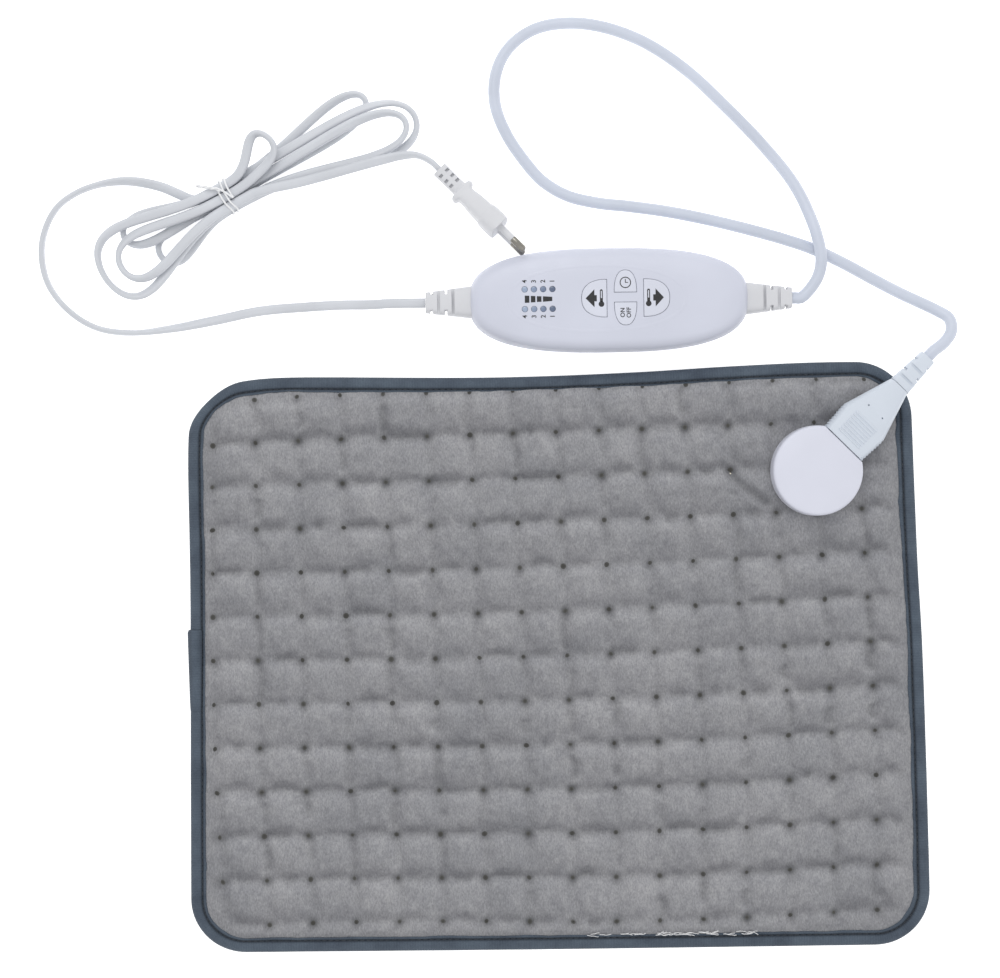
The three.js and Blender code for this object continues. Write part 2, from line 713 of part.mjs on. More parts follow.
function socketBackPlate() {
  const bottom = feltTop + FIT - socketBase;
  const top = fieldCeiling - FIT - socketBase;
  const counterbore = SOCKET_SCREW_HEAD_HEIGHT + FIT;
  const holes = socketScrewSpots().flatMap(([x, y]) => [
    post(x, y, CASE_SCREW_HEAD + FIT, bottom - 1, bottom + counterbore, 12),
    post(x, y, CASE_SCREW_RADIUS + FIT, bottom, top + 1, 10),
  ]);
  return cut(post(0, 0, PLATE_RADIUS, bottom, top, 28), holes);
}

function socketScrew(x, y) {
  const bottom = feltTop + FIT - socketBase;
  const seat = bottom + SOCKET_SCREW_HEAD_HEIGHT;
  const profile = [[0, bottom], [CASE_SCREW_HEAD, bottom], [CASE_SCREW_HEAD, seat], [CASE_SCREW_RADIUS, seat],
    [CASE_SCREW_RADIUS, SOCKET_SCREW_LENGTH - 1], [0, SOCKET_SCREW_LENGTH - FIT]];
  return turned(profile, 10).translate(x, y, 0);
}

function socketPin(y) {
  const slotX = SOCKET_FACE - NOSE_DEPTH;
  return rod(y, connectorAxis, PIN_RADIUS, slotX - PIN_ROOT + FIT, slotX + PIN_REACH, 10);
}

function makeSocket() {
  const socket = group(part, socketX, socketY, socketBase, CONNECTOR_ANGLE);
  add(socket, 'socket_housing', socketHousing(), whitePlastic());
  add(socket, 'socket_back_plate', socketBackPlate(), whitePlastic());
  pinRows().forEach((y, i) => add(socket, `socket_pin_${i + 1}`, socketPin(y), brass()));
  socketScrewSpots().forEach(([x, y], i) => add(socket, `socket_screw_${i + 1}`, socketScrew(x, y), steel()));
}

// Strain relief along x from a root to a tip, with slots cut in turn above and below and at the sides
function slottedRelief(rings, firstSlot, tipX, core) {
  const reach = 20;
  const slots = [];
  for (let x = firstSlot, turn = 0; x + 2 * SLOT_WIDTH < tipX; x += SLOT_PITCH, turn += 1) {
    [-1, 1].forEach((side) => {
      const near = side > 0 ? core : -reach;
      const far = side > 0 ? reach : -core;
      slots.push(turn % 2 === 0
        ? block(x, x + SLOT_WIDTH, -reach, reach, near, far)
        : block(x, x + SLOT_WIDTH, near, far, -reach, reach));
    });
  }
  const sides = 12;
  return cut(lofted(rings.map(([x, halfY, halfZ]) => crossRing(x, halfY, halfZ, 4, sides))), slots);
}

// Connector: fan shaped shells, nose, contacts and strain relief
function connectorBody() {
  const widths = [CONNECTOR_WIDTH, CONNECTOR_SHOULDER_WIDTH, CONNECTOR_TAIL_WIDTH];
  const halves = widths.map((width) => width / 2 - CONNECTOR_EDGE);
  const front = connectorStart + CONNECTOR_EDGE;
  const places = [front, connectorStart + CONNECTOR_SHOULDER, connectorEnd - CONNECTOR_EDGE];
  const below = places.map((x, i) => new THREE.Vector2(x, -halves[i]));
  const above = places.map((x, i) => new THREE.Vector2(x, halves[i])).reverse();
  const fan = new THREE.Shape([...below, ...above]);
  const options = {
    depth: CONNECTOR_HEIGHT - 2 * CONNECTOR_EDGE,
    bevelSize: CONNECTOR_EDGE,
    bevelThickness: CONNECTOR_EDGE,
    bevelSegments: 2,
  };
  return new THREE.ExtrudeGeometry(fan, options).translate(0, 0, connectorBottom + CONNECTOR_EDGE);
}

function connectorCavity() {
  const halfY = NOSE_WIDTH / 2 + FIT;
  const halfZ = NOSE_HEIGHT / 2 + FIT;
  const wireHalf = CONNECTOR_TAIL_WIDTH / 2 - CONNECTOR_WALL;
  const nosePocket = block(connectorStart - 1, connectorStart + NOSE_GRIP + FIT, -halfY, halfY,
    connectorAxis - halfZ, connectorAxis + halfZ);
  const wireWay = block(connectorStart, connectorEnd + 1, -wireHalf, wireHalf,
    connectorAxis - wireHalf, connectorAxis + wireHalf);
  return join([nosePocket, wireWay]);
}

function connectorShell(z0, z1) {
  const hollow = cut(connectorBody(), [connectorCavity()]);
  const reach = CONNECTOR_SHOULDER_WIDTH;
  return overlap(hollow, block(0, connectorEnd + 1, -reach, reach, z0, z1));
}

function connectorUpperShell() {
  const top = connectorBottom + CONNECTOR_HEIGHT;
  const ribs = Array.from({ length: GRIP_RIBS }, (_, rib) => {
    const x = connectorStart + GRIP_START + rib * GRIP_RIB_PITCH;
    const half = GRIP_RIB_LENGTH / 2;
    return block(x, x + GRIP_RIB_PITCH / 2, -half, half, top - GRIP_RIB_HEIGHT, top + GRIP_RIB_HEIGHT);
  });
  return join([connectorShell(connectorAxis + FIT / 2, top), ...ribs]);
}

function connectorNose() {
  const front = SOCKET_FACE - NOSE_DEPTH + SLIDE;
  const back = connectorStart + NOSE_GRIP;
  const halfY = NOSE_WIDTH / 2;
  const halfZ = NOSE_HEIGHT / 2;
  const body = block(front, back, -halfY, halfY, connectorAxis - halfZ, connectorAxis + halfZ);
  return cut(body, pinRows().map((y) => rod(y, connectorAxis, contactRadius + FIT, front - 1, back + 1, 12)));
}

function connectorContact(y) {
  const front = SOCKET_FACE - NOSE_DEPTH + SLIDE + FIT;
  const bore = PIN_RADIUS + FIT;
  const depth = PIN_REACH + FIT;
  const profile = [[0, depth], [bore, depth], [bore, 0], [contactRadius, 0], [contactRadius, CONTACT_LENGTH],
    [0, CONTACT_LENGTH]];
  return turned(profile, 10).rotateY(Math.PI / 2).translate(front, y, connectorAxis);
}

function connectorRelief() {
  const start = connectorEnd + FIT;
  const tip = start + CONNECTOR_RELIEF_LENGTH;
  const root = CONNECTOR_TAIL_WIDTH / 2;
  const end = CONNECTOR_RELIEF_TIP / 2;
  const spigot = CONNECTOR_TAIL_WIDTH / 2 - CONNECTOR_WALL - FIT;
  const rings = [[start, root, CONNECTOR_HEIGHT / 2 - FIT], [tip, end, end]];
  const outside = slottedRelief(rings, start + SLOT_PITCH, tip, end - 1);
  const inside = block(start - CONNECTOR_RELIEF_INSIDE, start + 1, -spigot, spigot, -spigot, spigot);
  return join([outside, inside]).translate(0, 0, connectorAxis);
}

function makeConnector() {
  const connector = group(part, socketX, socketY, socketBase, CONNECTOR_ANGLE);
  const lower = connectorShell(connectorBottom - 1, connectorAxis - FIT / 2);
  add(connector, 'connector_upper_shell', connectorUpperShell(), whitePlastic());
  add(connector, 'connector_lower_shell', lower, whitePlastic());
  add(connector, 'connector_nose', connectorNose(), whitePlastic());
  pinRows().forEach((y, i) => add(connector, `connector_contact_${i + 1}`, connectorContact(y), brass()));
  add(connector, 'connector_relief', connectorRelief(), whitePlastic());
}

// Controller: case as rings of a rounded outline, given as height and inset from the widest outline
function caseRings() {
  const top = CONTROLLER_HEIGHT;
  return [
    [0, 6], [1.2, 3.2], [4, 1.2], [CONTROLLER_SPLIT, 0], [top - 9, 0.5],
    [top - 5, 1.8], [top - 2.2, 4.6], [top - 0.8, 8.8], [top, 17],
  ];
}

function caseForm(grow) {
  const sides = 36;
  const middle = CONTROLLER_SPLIT;
  const rings = caseRings().map(([z, inset]) => {
    const halfX = CONTROLLER_LENGTH / 2 - inset + grow;
    const halfY = CONTROLLER_WIDTH / 2 - inset + grow;
    return levelRing(halfX, halfY, z + grow * Math.sign(z - middle), CONTROLLER_POWER, sides);
  });
  return lofted(rings);
}

function caseHalf(z0, z1) {
  const reach = CONTROLLER_LENGTH;
  const cordWay = rod(0, CONTROLLER_SPLIT, RELIEF_SPIGOT + FIT, -reach, reach);
  const hollow = cut(caseForm(0), [caseForm(-CASE_WALL), cordWay]);
  return overlap(hollow, block(-reach, reach, -reach, reach, z0, z1));
}

function fourCorners(x, y) {
  return [[-x, -y], [x, -y], [x, y], [-x, y]];
}

function caseScrewSpots() {
  return fourCorners(screwX, screwY);
}

// Buttons, each a D with its straight side at `straight` and its round side at `apex` along `axis`
const BUTTONS = [
  { name: 'heat_down', axis: 'x', straight: -1.6, apex: -15.3, centre: 0, span: SIDE_BUTTON_SPAN },
  { name: 'heat_up', axis: 'x', straight: 18.6, apex: 32.7, centre: 0, span: SIDE_BUTTON_SPAN },
  { name: 'timer', axis: 'y', straight: 3.2, apex: 15.2, centre: 8.6, span: MIDDLE_BUTTON_SPAN },
  { name: 'power', axis: 'y', straight: -2.3, apex: -14.7, centre: 8.6, span: MIDDLE_BUTTON_SPAN },
];

function buttonOutline(button, grow) {
  const facing = Math.sign(button.apex - button.straight);
  const start = button.straight - facing * grow;
  const depth = Math.abs(button.apex - button.straight) + 2 * grow;
  const half = button.span / 2 + grow;
  const steps = 12;
  const corners = Array.from({ length: steps + 1 }, (_, step) => {
    const angle = Math.PI * (step / steps - 0.5);
    const [out, along] = superPoint(angle, depth, half, BUTTON_POWER);
    const depthwise = start + facing * out;
    return button.axis === 'x'
      ? new THREE.Vector2(depthwise, button.centre + facing * along)
      : new THREE.Vector2(button.centre - facing * along, depthwise);
  });
  return new THREE.Shape(corners);
}

function buttonSpot(button) {
  const middle = (button.straight + button.apex) / 2;
  return button.axis === 'x' ? [middle, button.centre] : [button.centre, middle];
}

function buttonCap(button) {
  const [x, y] = buttonSpot(button);
  const raised = caseForm(0).translate(0, 0, BUTTON_RISE);
  const key = overlap(slab(buttonOutline(button, 0), flangeTop - FIT, CONTROLLER_HEIGHT + 1), raised);
  const flange = slab(buttonOutline(button, BUTTON_FLANGE), flangeTop - BUTTON_FLANGE_THICKNESS, flangeTop);
  const stem = post(x, y, BUTTON_STEM_RADIUS, plungerTop + FIT, flangeTop - FIT, 10);
  return join([key, flange, stem]);
}

function switchPlunger(button) {
  const [x, y] = buttonSpot(button);
  return post(x, y, PLUNGER_RADIUS, plungerBottom, plungerTop, 10);
}

function switchBase(button) {
  const [x, y] = buttonSpot(button);
  const half = SWITCH_WIDTH / 2;
  const body = block(x - half, x + half, y - half, y + half, boardTop + FIT, switchTop);
  return cut(body, [post(x, y, PLUNGER_RADIUS + SLIDE, wellFloor, switchTop + 1, 10)]);
}

function lightSpots(rowY) {
  return Array.from({ length: LIGHT_COUNT }, (_, light) => [firstLightX + light * LIGHT_PITCH, rowY]);
}

function lightBar(rowY, z0, z1) {
  const half = LIGHT_BAR_WIDTH / 2;
  return block(firstLightX - half, lastLightX + half, rowY - half, rowY + half, z0, z1);
}

function lightGuide(rowY) {
  const barTop = lightBarBottom + LIGHT_BAR_HEIGHT;
  const above = CONTROLLER_HEIGHT + 1;
  const posts = lightSpots(rowY).map(([x, y]) => post(x, y, LIGHT_RADIUS, barTop - FIT, above, 10));
  return overlap(join([lightBar(rowY, lightBarBottom, barTop), ...posts]), caseForm(0));
}

function ledStrip(rowY) {
  const base = boardTop + FIT;
  const strip = lightBar(rowY, base, base + LED_BASE_HEIGHT);
  const top = base + LED_BASE_HEIGHT + LED_HEIGHT;
  const lamps = lightSpots(rowY).map(([x, y]) => post(x, y, LIGHT_RADIUS, base + FIT, top, 8));
  return join([strip, ...lamps]);
}

function controllerUpperShell() {
  const bottom = CONTROLLER_SPLIT + FIT / 2;
  const above = CONTROLLER_HEIGHT + 1;
  const ceiling = CONTROLLER_HEIGHT - CASE_WALL + FIT;
  const pilotTop = CASE_SCREW_RECESS + CASE_SCREW_LENGTH + 2 * FIT;
  const lightHole = LIGHT_RADIUS + FIT;
  const pilot = CASE_SCREW_RADIUS + FIT;
  const lights = [LIGHT_ROW_Y, -LIGHT_ROW_Y].flatMap(lightSpots);
  const posts = caseScrewSpots().map(([x, y]) => post(x, y, CASE_BOSS_RADIUS, bottom, ceiling));
  const pilots = caseScrewSpots().map(([x, y]) => post(x, y, pilot, bottom - 1, pilotTop, 10));
  const keyHoles = BUTTONS.map((button) => slab(buttonOutline(button, BUTTON_GAP), flangeTop, above));
  const lightHoles = lights.map(([x, y]) => post(x, y, lightHole, flangeTop - CASE_WALL, above, 10));
  const shell = join([caseHalf(bottom, above), ...posts]);
  return cut(shell, [...pilots, ...keyHoles, ...lightHoles]);
}

function controllerLowerShell() {
  const top = CONTROLLER_SPLIT - FIT / 2;
  const floor = CASE_WALL - FIT;
  const bosses = caseScrewSpots().map(([x, y]) => post(x, y, CASE_BOSS_RADIUS, floor, top));
  const headTop = CASE_SCREW_RECESS + CASE_SCREW_HEAD_HEIGHT + FIT;
  const recesses = caseScrewSpots().flatMap(([x, y]) => [
    post(x, y, CASE_SCREW_HEAD + FIT, -1, headTop, 12),
    post(x, y, CASE_SCREW_RADIUS + FIT, 0, top + 1, 10),
  ]);
  const postSpots = fourCorners(boardHalfLength - BOARD_POST_INSET_X, boardHalfWidth - BOARD_POST_INSET);
  const rests = postSpots.map(([x, y]) => post(x, y, BOARD_POST_RADIUS, floor, BOARD_LEVEL - FIT, 10));
  const saddles = [-clampX, clampX].map((x) => clampBlock(x, floor, SADDLE_TOP));
  return cut(join([caseHalf(-1, top), ...bosses, ...rests, ...saddles]), recesses);
}

function circuitBoard() {
  return slab(roundedOutline(boardHalfLength, boardHalfWidth, 3), BOARD_LEVEL, boardTop);
}

function caseScrew(x, y) {
  const head = CASE_SCREW_RECESS + CASE_SCREW_HEAD_HEIGHT;
  const tip = CASE_SCREW_RECESS + CASE_SCREW_LENGTH;
  const profile = [[0, CASE_SCREW_RECESS], [CASE_SCREW_HEAD, CASE_SCREW_RECESS], [CASE_SCREW_HEAD, head],
    [CASE_SCREW_RADIUS, head], [CASE_SCREW_RADIUS, tip - 1], [0, tip]];
  return turned(profile, 10).translate(x, y, 0);
}

function boardBlock(x, y, [length, width, height]) {
  const base = boardTop + FIT;
  return block(x - length / 2, x + length / 2, y - width / 2, y + width / 2, base, base + height);
}

function clampBlock(x, z0, z1) {
  return block(x - CLAMP_WIDTH / 2, x + CLAMP_WIDTH / 2, -CLAMP_SPAN / 2, CLAMP_SPAN / 2, z0, z1);
}

function cordClamp(x) {
  return clampBlock(x, SADDLE_TOP + FIT, SADDLE_TOP + FIT + CLAMP_HEIGHT);
}

function controllerRelief(side) {
  const wall = CONTROLLER_LENGTH / 2;
  const flat = RELIEF_FLATNESS;
  const halves = [RELIEF_ROOT_WIDTH / 2, RELIEF_COLLAR_WIDTH / 2, RELIEF_TIP_WIDTH / 2];
  const places = [wall - RELIEF_ROOT_INSIDE, wall + RELIEF_COLLAR, reliefTip];
  const rings = places.map((x, i) => [x, halves[i], halves[i] * flat]);
  const core = PAD_CORD_DIAMETER / 2 + 1;
  const outside = slottedRelief(rings, wall + RELIEF_COLLAR, reliefTip, core);
  const clear = caseForm(FIT).translate(0, 0, -CONTROLLER_SPLIT);
  const spigot = rod(0, 0, RELIEF_SPIGOT, wall - RELIEF_INSIDE, wall + 2);
  const relief = join([cut(outside, [clear]), spigot]);
  return relief.rotateZ(side > 0 ? 0 : Math.PI).translate(0, 0, CONTROLLER_SPLIT);
}

function makeController() {
  const controller = group(part, CONTROLLER_X, controllerY, 0, CONTROLLER_ANGLE);
  const powerX = boardHalfLength - POWER_PART_INSET;
  add(controller, 'controller_upper_shell', controllerUpperShell(), whitePlastic());
  add(controller, 'controller_lower_shell', controllerLowerShell(), whitePlastic());
  add(controller, 'circuit_board', circuitBoard(), boardLaminate());
  add(controller, 'dropper_capacitor', boardBlock(powerX, -POWER_PART_Y, CAPACITOR_SIZE), filmPlastic());
  add(controller, 'triac', boardBlock(powerX, POWER_PART_Y, TRIAC_SIZE), blackPlastic());
  add(controller, 'control_chip', boardBlock(CHIP_X, 0, CHIP_SIZE), blackPlastic());
  [['heat', -LIGHT_ROW_Y], ['time', LIGHT_ROW_Y]].forEach(([name, y]) => {
    add(controller, `led_strip_${name}`, ledStrip(y), clearPlastic());
    add(controller, `light_guide_${name}`, lightGuide(y), clearPlastic());
  });
  BUTTONS.forEach((button) => {
    add(controller, `button_${button.name}`, buttonCap(button), buttonPlastic());
    add(controller, `switch_plunger_${button.name}`, switchPlunger(button), blackPlastic());
    add(controller, `switch_base_${button.name}`, switchBase(button), blackPlastic());
  });
  caseScrewSpots().forEach(([x, y], i) => add(controller, `case_screw_${i + 1}`, caseScrew(x, y), steel()));
  [['left', -1], ['right', 1]].forEach(([name, side]) => {
    add(controller, `cord_clamp_${name}`, cordClamp(side * clampX), whitePlastic());
    add(controller, `controller_relief_${name}`, controllerRelief(side), whitePlastic());
  });
}

// Places where the cords meet what they come out of, as a point and a straight way out
function controllerExit(side, run) {
  const angle = THREE.MathUtils.degToRad(CONTROLLER_ANGLE);
  const reach = side * (reliefTip + run);
  return [CONTROLLER_X + reach * Math.cos(angle), controllerY + reach * Math.sin(angle), CONTROLLER_SPLIT, 0];
}

function connectorExit(run) {
  const [x, y] = socketPoint(connectorEnd + FIT + CONNECTOR_RELIEF_LENGTH + run, 0);
  return [x, y, socketBase + connectorAxis, 0];
}

// Hank: the place of each pass at the waist, and the lobe that joins it to the next pass
function hankSlot(pass) {
  const across = ((HANK_COLUMNS - 1) / 2 - (pass % HANK_COLUMNS)) * (CORD_WIDTH + HANK_COLUMN_GAP);
  const row = Math.floor(pass / HANK_COLUMNS);
  const lowest = TIE_THICKNESS + 2 * FIT + CORD_THICKNESS / 2;
  return [across, lowest + row * (CORD_THICKNESS + HANK_ROW_GAP)];
}

function lobePoint(pass, t) {
  const side = pass % 2 === 0 ? 1 : -1;
  const lobes = side > 0 ? RIGHT_LOBES : LEFT_LOBES;
  const [reach, half, swing, fold] = lobes[Math.floor(pass / 2)];
  const [across0, height0] = hankSlot(pass);
  const [across1, height1] = hankSlot(pass + 1);
  const rise = Math.sin(Math.PI * t);
  const spread = rise * (2 - rise);
  const widest = 2 / (3 * Math.sqrt(3));
  const bow = (Math.sign(across0 - across1) * half * rise ** 2 * Math.cos(Math.PI * t)) / widest;
  const lean = side * THREE.MathUtils.degToRad(swing) * spread;
  const ease = THREE.MathUtils.smoothstep(t, 0, 1);
  const out = WAIST_HALF + (reach - WAIST_HALF) * rise * Math.cos(lean) - bow * Math.sin(lean);
  const across = THREE.MathUtils.lerp(across0, across1, ease) + bow * Math.cos(lean)
    + (reach - WAIST_HALF) * rise * Math.sin(lean);
  const height = THREE.MathUtils.lerp(height0, height1, ease) + (fold - (height0 + height1) / 2) * spread;
  return [side * out, across, height, 90 * rise ** 4];
}

function hankPoint([along, across, height, roll]) {
  const [dx, dy] = turnedPoint(along, across, HANK_ANGLE);
  return [WAIST_X + dx, WAIST_Y + dy, height, roll];
}

function hankEnd(pass, run) {
  const side = pass === 0 ? -1 : 1;
  return hankPoint([side * (WAIST_HALF + CORD_WIDTH + run), ...hankSlot(pass), 0]);
}

function hankRoute() {
  const chosen = [hankEnd(0, 0)];
  for (let pass = 0; pass < HANK_PASSES; pass += 1) {
    const side = pass % 2 === 0 ? 1 : -1;
    chosen.push(hankPoint([-side * WAIST_HALF, ...hankSlot(pass), 0]));
    chosen.push(hankPoint([side * WAIST_HALF, ...hankSlot(pass), 0]));
    for (let step = 1; step < LOBE_STEPS && pass + 1 < HANK_PASSES; step += 1) {
      chosen.push(hankPoint(lobePoint(pass, step / LOBE_STEPS)));
    }
  }
  chosen.push(hankEnd(HANK_PASSES - 1, 0));
  const points = chosen.map(([x, y, z]) => new THREE.Vector3(x, y, z));
  const rolls = chosen.map(([, , , roll]) => THREE.MathUtils.degToRad(roll));
  return new Route(points, rolls, polylineTangents(points));
}

// Least gap between stretches of one flat cord, measured between points along it and their oval sections
function leastGap(route) {
  const between = 6;
  const { normals, binormals } = route.computeFrenetFrames();
  const samples = [];
  let travelled = 0;
  route.points.slice(1).forEach((end, i) => {
    const start = route.points[i];
    const step = start.distanceTo(end);
    for (let k = 0; k < between; k += 1) {
      const share = k / between;
      samples.push({
        at: start.clone().lerp(end, share),
        along: travelled + share * step,
        wide: normals[i].clone().lerp(normals[i + 1], share).normalize(),
        thin: binormals[i].clone().lerp(binormals[i + 1], share).normalize(),
      });
    }
    travelled += step;
  });
  const reach = (sample, way) => Math.hypot((CORD_WIDTH / 2) * sample.wide.dot(way),
    (CORD_THICKNESS / 2) * sample.thin.dot(way));
  const apart = 4 * CORD_WIDTH;
  let least = Infinity;
  samples.forEach((one, i) => samples.slice(i + 1).forEach((other) => {
    const distance = one.at.distanceTo(other.at);
    if (other.along - one.along > apart && distance - CORD_WIDTH < least) {
      const way = other.at.clone().sub(one.at).divideScalar(distance);
      least = Math.min(least, distance - reach(one, way) - reach(other, way));
    }
  }));
  return least;
}

function hankTie() {
  const halfX = (HANK_COLUMNS * (CORD_WIDTH + HANK_COLUMN_GAP) - HANK_COLUMN_GAP) / 2 + FIT;
  const bottom = TIE_THICKNESS + FIT;
  const top = hankSlot(HANK_PASSES - 1)[1] + CORD_THICKNESS / 2 + FIT;
  const halfY = (top - bottom) / 2;
  const ring = roundedOutline(halfX + TIE_THICKNESS, halfY + TIE_THICKNESS, CORD_THICKNESS / 2);
  ring.holes.push(roundedOutline(halfX, halfY, CORD_THICKNESS / 2 - TIE_THICKNESS));
  const band = slab(ring, -TIE_WIDTH / 2, TIE_WIDTH / 2);
  return band.rotateX(Math.PI / 2).rotateZ(Math.PI / 2).translate(0, 0, (top + bottom) / 2);
}

// Plug: lofted body with sleeves, and two pins; a section is its place, half thickness and half width
function plugSections() {
  const tail = PLUG_TAIL_WIDTH / 2;
  const full = PLUG_WIDTH / 2;
  return [
    [0, 4.4, tail], [14, 4.3, tail + 0.4], [15.5, 4.6, tail + 1.4], [16.3, 6.9, tail + 2.9],
    [18.7, 7.1, tail + 3.4], [19.8, 5.3, tail + 3.7], [28, 5.6, full - 6], [35, 6, full - 3.4],
    [36, 6.45, full - 2.9], [PLUG_LENGTH - 1.5, 6.5, full - 0.5], [PLUG_LENGTH, 6.2, full],
  ];
}

function plugPinLevels() {
  return [-PLUG_PIN_PITCH / 2, PLUG_PIN_PITCH / 2];
}

function plugBody() {
  const body = lofted(plugSections().map(([x, halfY, halfZ]) => crossRing(x, halfY, halfZ, 4, 20)));
  const sleeveEnd = PLUG_LENGTH + PLUG_SLEEVE_LENGTH;
  const sleeves = plugPinLevels().map((z) => rod(0, z, PLUG_SLEEVE_RADIUS, PLUG_LENGTH - 1, sleeveEnd));
  const boreRadius = PLUG_PIN_CORE + FIT;
  const boreStart = PLUG_LENGTH - PLUG_PIN_ROOT;
  const bores = plugPinLevels().map((z) => rod(0, z, boreRadius, boreStart, sleeveEnd + 1));
  return cut(join([body, ...sleeves]), bores);
}

function plugPin(z) {
  const root = PLUG_LENGTH - PLUG_PIN_ROOT + FIT;
  const shoulder = PLUG_LENGTH + PLUG_SLEEVE_LENGTH + FIT;
  const tip = PLUG_LENGTH + PLUG_PIN_LENGTH;
  const profile = [[0, root], [PLUG_PIN_CORE, root], [PLUG_PIN_CORE, shoulder], [PLUG_PIN_RADIUS, shoulder],
    [PLUG_PIN_RADIUS, tip - 1.2], [PLUG_PIN_RADIUS - 0.8, tip - 0.2], [0, tip]];
  return turned(profile, 12).rotateY(Math.PI / 2).translate(0, 0, z);
}

// The plug rests on the edge of its wide end, and its cord holds its tail level
const plugLevel = PLUG_WIDTH / 2 + FIT;

function plugEntry(run) {
  const [dx, dy] = turnedPoint(-run, 0, PLUG_ANGLE);
  return [PLUG_X + dx, PLUG_Y + dy, plugLevel, 90];
}

function makePlug() {
  const plug = group(part, PLUG_X, PLUG_Y, plugLevel, PLUG_ANGLE);
  add(plug, 'plug_body', plugBody(), whitePlastic());
  plugPinLevels().forEach((z, i) => add(plug, `plug_pin_${i + 1}`, plugPin(z), steel()));
}

function makeCords() {
  const round = ovalSection(PAD_CORD_DIAMETER, PAD_CORD_DIAMETER, 8);
  const flat = ovalSection(CORD_WIDTH, CORD_THICKNESS, 8);
  const last = HANK_PASSES - 1;
  const leave = [FIT, CORD_WIDTH / 2, CORD_WIDTH];
  const arrive = [CORD_WIDTH, CORD_WIDTH / 2, FIT];
  const atController = arrive.map((run) => controllerExit(1, run));
  const fromController = leave.map((run) => controllerExit(-1, run));
  const atHank = [CORD_WIDTH / 4, FIT].map((run) => hankEnd(0, run));
  const fromHank = [FIT, CORD_WIDTH / 4].map((run) => hankEnd(last, run));
  const padChosen = [...leave.map(connectorExit), ...PAD_CORD_ROUTE, ...atController];
  const mainsChosen = [...fromController, ...MAINS_ROUTE, ...atHank];
  const tailChosen = [...fromHank, ...TAIL_ROUTE, ...arrive.map(plugEntry)];
  const hank = hankRoute();
  add(part, 'pad_cord', tube(smoothRoute(padChosen, PAD_CORD_STEPS), round), cordPlastic());
  add(part, 'mains_cord', tube(smoothRoute(mainsChosen, MAINS_STEPS), flat), cordPlastic());
  add(part, 'mains_cord_hank', tube(hank, ovalSection(CORD_WIDTH, CORD_THICKNESS, 6)), cordPlastic());
  add(part, 'mains_cord_tail', tube(smoothRoute(tailChosen, TAIL_STEPS), flat), cordPlastic());
  add(group(part, WAIST_X, WAIST_Y, 0, HANK_ANGLE), 'hank_tie', hankTie(), tieWire());
  const length = routeLength(hank).toFixed(0);
  console.log(`hank: ${length} mm of cord, least gap to itself ${leastGap(hank).toFixed(2)} mm`);
}

makePad();
makeSocket();
makeConnector();
makeController();
makePlug();
makeCords();

export default part;
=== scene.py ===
"""Looks of a heating pad with its plug-in lead and four button controller.

Sizes are millimetres, in the frame of the model, and become metres in the meshes.
"""
import math
import random

import bpy
import numpy as np
from mathutils import Matrix, Vector, noise
from mathutils.bvhtree import BVHTree
from mathutils.geometry import tessellate_polygon


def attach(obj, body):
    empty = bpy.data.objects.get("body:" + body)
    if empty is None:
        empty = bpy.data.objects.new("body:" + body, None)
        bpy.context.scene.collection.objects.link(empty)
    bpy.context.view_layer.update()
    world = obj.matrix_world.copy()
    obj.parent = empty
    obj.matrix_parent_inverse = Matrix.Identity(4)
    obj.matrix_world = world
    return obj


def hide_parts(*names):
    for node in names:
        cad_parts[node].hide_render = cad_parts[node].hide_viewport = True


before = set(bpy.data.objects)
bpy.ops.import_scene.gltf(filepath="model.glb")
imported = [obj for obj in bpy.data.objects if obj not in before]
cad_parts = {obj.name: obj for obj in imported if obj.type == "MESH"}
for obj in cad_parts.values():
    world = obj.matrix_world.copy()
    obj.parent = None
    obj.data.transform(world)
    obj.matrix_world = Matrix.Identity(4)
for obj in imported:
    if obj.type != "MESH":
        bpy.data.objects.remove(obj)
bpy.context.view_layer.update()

MM = 0.001

# Camera: straight above, with the width of the view on the surface
CAMERA_HEIGHT = 1200
CAMERA_X = -28.8
CAMERA_Y = 96.5
CAMERA_TURN = -1.7
VIEW_WIDTH = 558
SENSOR = 36

# Pad
PAD_LENGTH = 400
PAD_WIDTH = 320
PAD_CORNER = 30
TUFT_PITCH_X = 24.3
TUFT_PITCH_Y = 24.45
TUFT_FIRST_X = -188
TUFT_FIRST_Y = -144
TUFT_COLUMNS = 16
TUFT_ROWS = 13
TUFT_LEVEL = 7.2
CROWN_LEVEL = 10.2
CROWN_SPARE = 0.9
ROW_SHARE = 0.8
ROW_WIDTH = 4
COLUMN_SHARE = 0.55
COLUMN_WIDTH = 3.2
# Strength of the painted shade on the front panel's slopes
SLOPE_SHADE_PULL = 1.7
EDGE_LEVEL = 5.6
EDGE_RISE = 12
PANEL_INSET = 3.2
PANEL_STEPS = 8
SKIN = 1
SEAT_RADIUS = 26.5
SEAT_LEVEL = 7.6
FELT_INSET = 16.3
FELT_LEVEL = 2.75
FELT_THICKNESS = 0.6
BACK_SKIN = 1.1
BINDING_STEP = 2.5
BINDING_THICKNESS = 0.9
BINDING_REACH = 8.4
LAP_TOP = 20
LAP_LENGTH = 45
LAP_GROWTH = 1.6
LAP_FIRST = 5
STITCH_PITCH = 3.4
STITCH_LENGTH = 2.7
STITCH_RADIUS = 0.26
STITCH_LEVEL = 6.55
STITCH_ARCH = (-0.25, 0.2, 0.3, 0.2, -0.25)
THREAD_COUNT = 34
THREAD_FROM = 14
THREAD_TO = 102
THREAD_STEPS = 7
THREAD_LEVEL = 7.5
THREAD_RADIUS = 0.2
GROOVE = 6.7
LIP_END = 7.9
LIP_UNDER = 6.1
LIP_RISE = 0.9
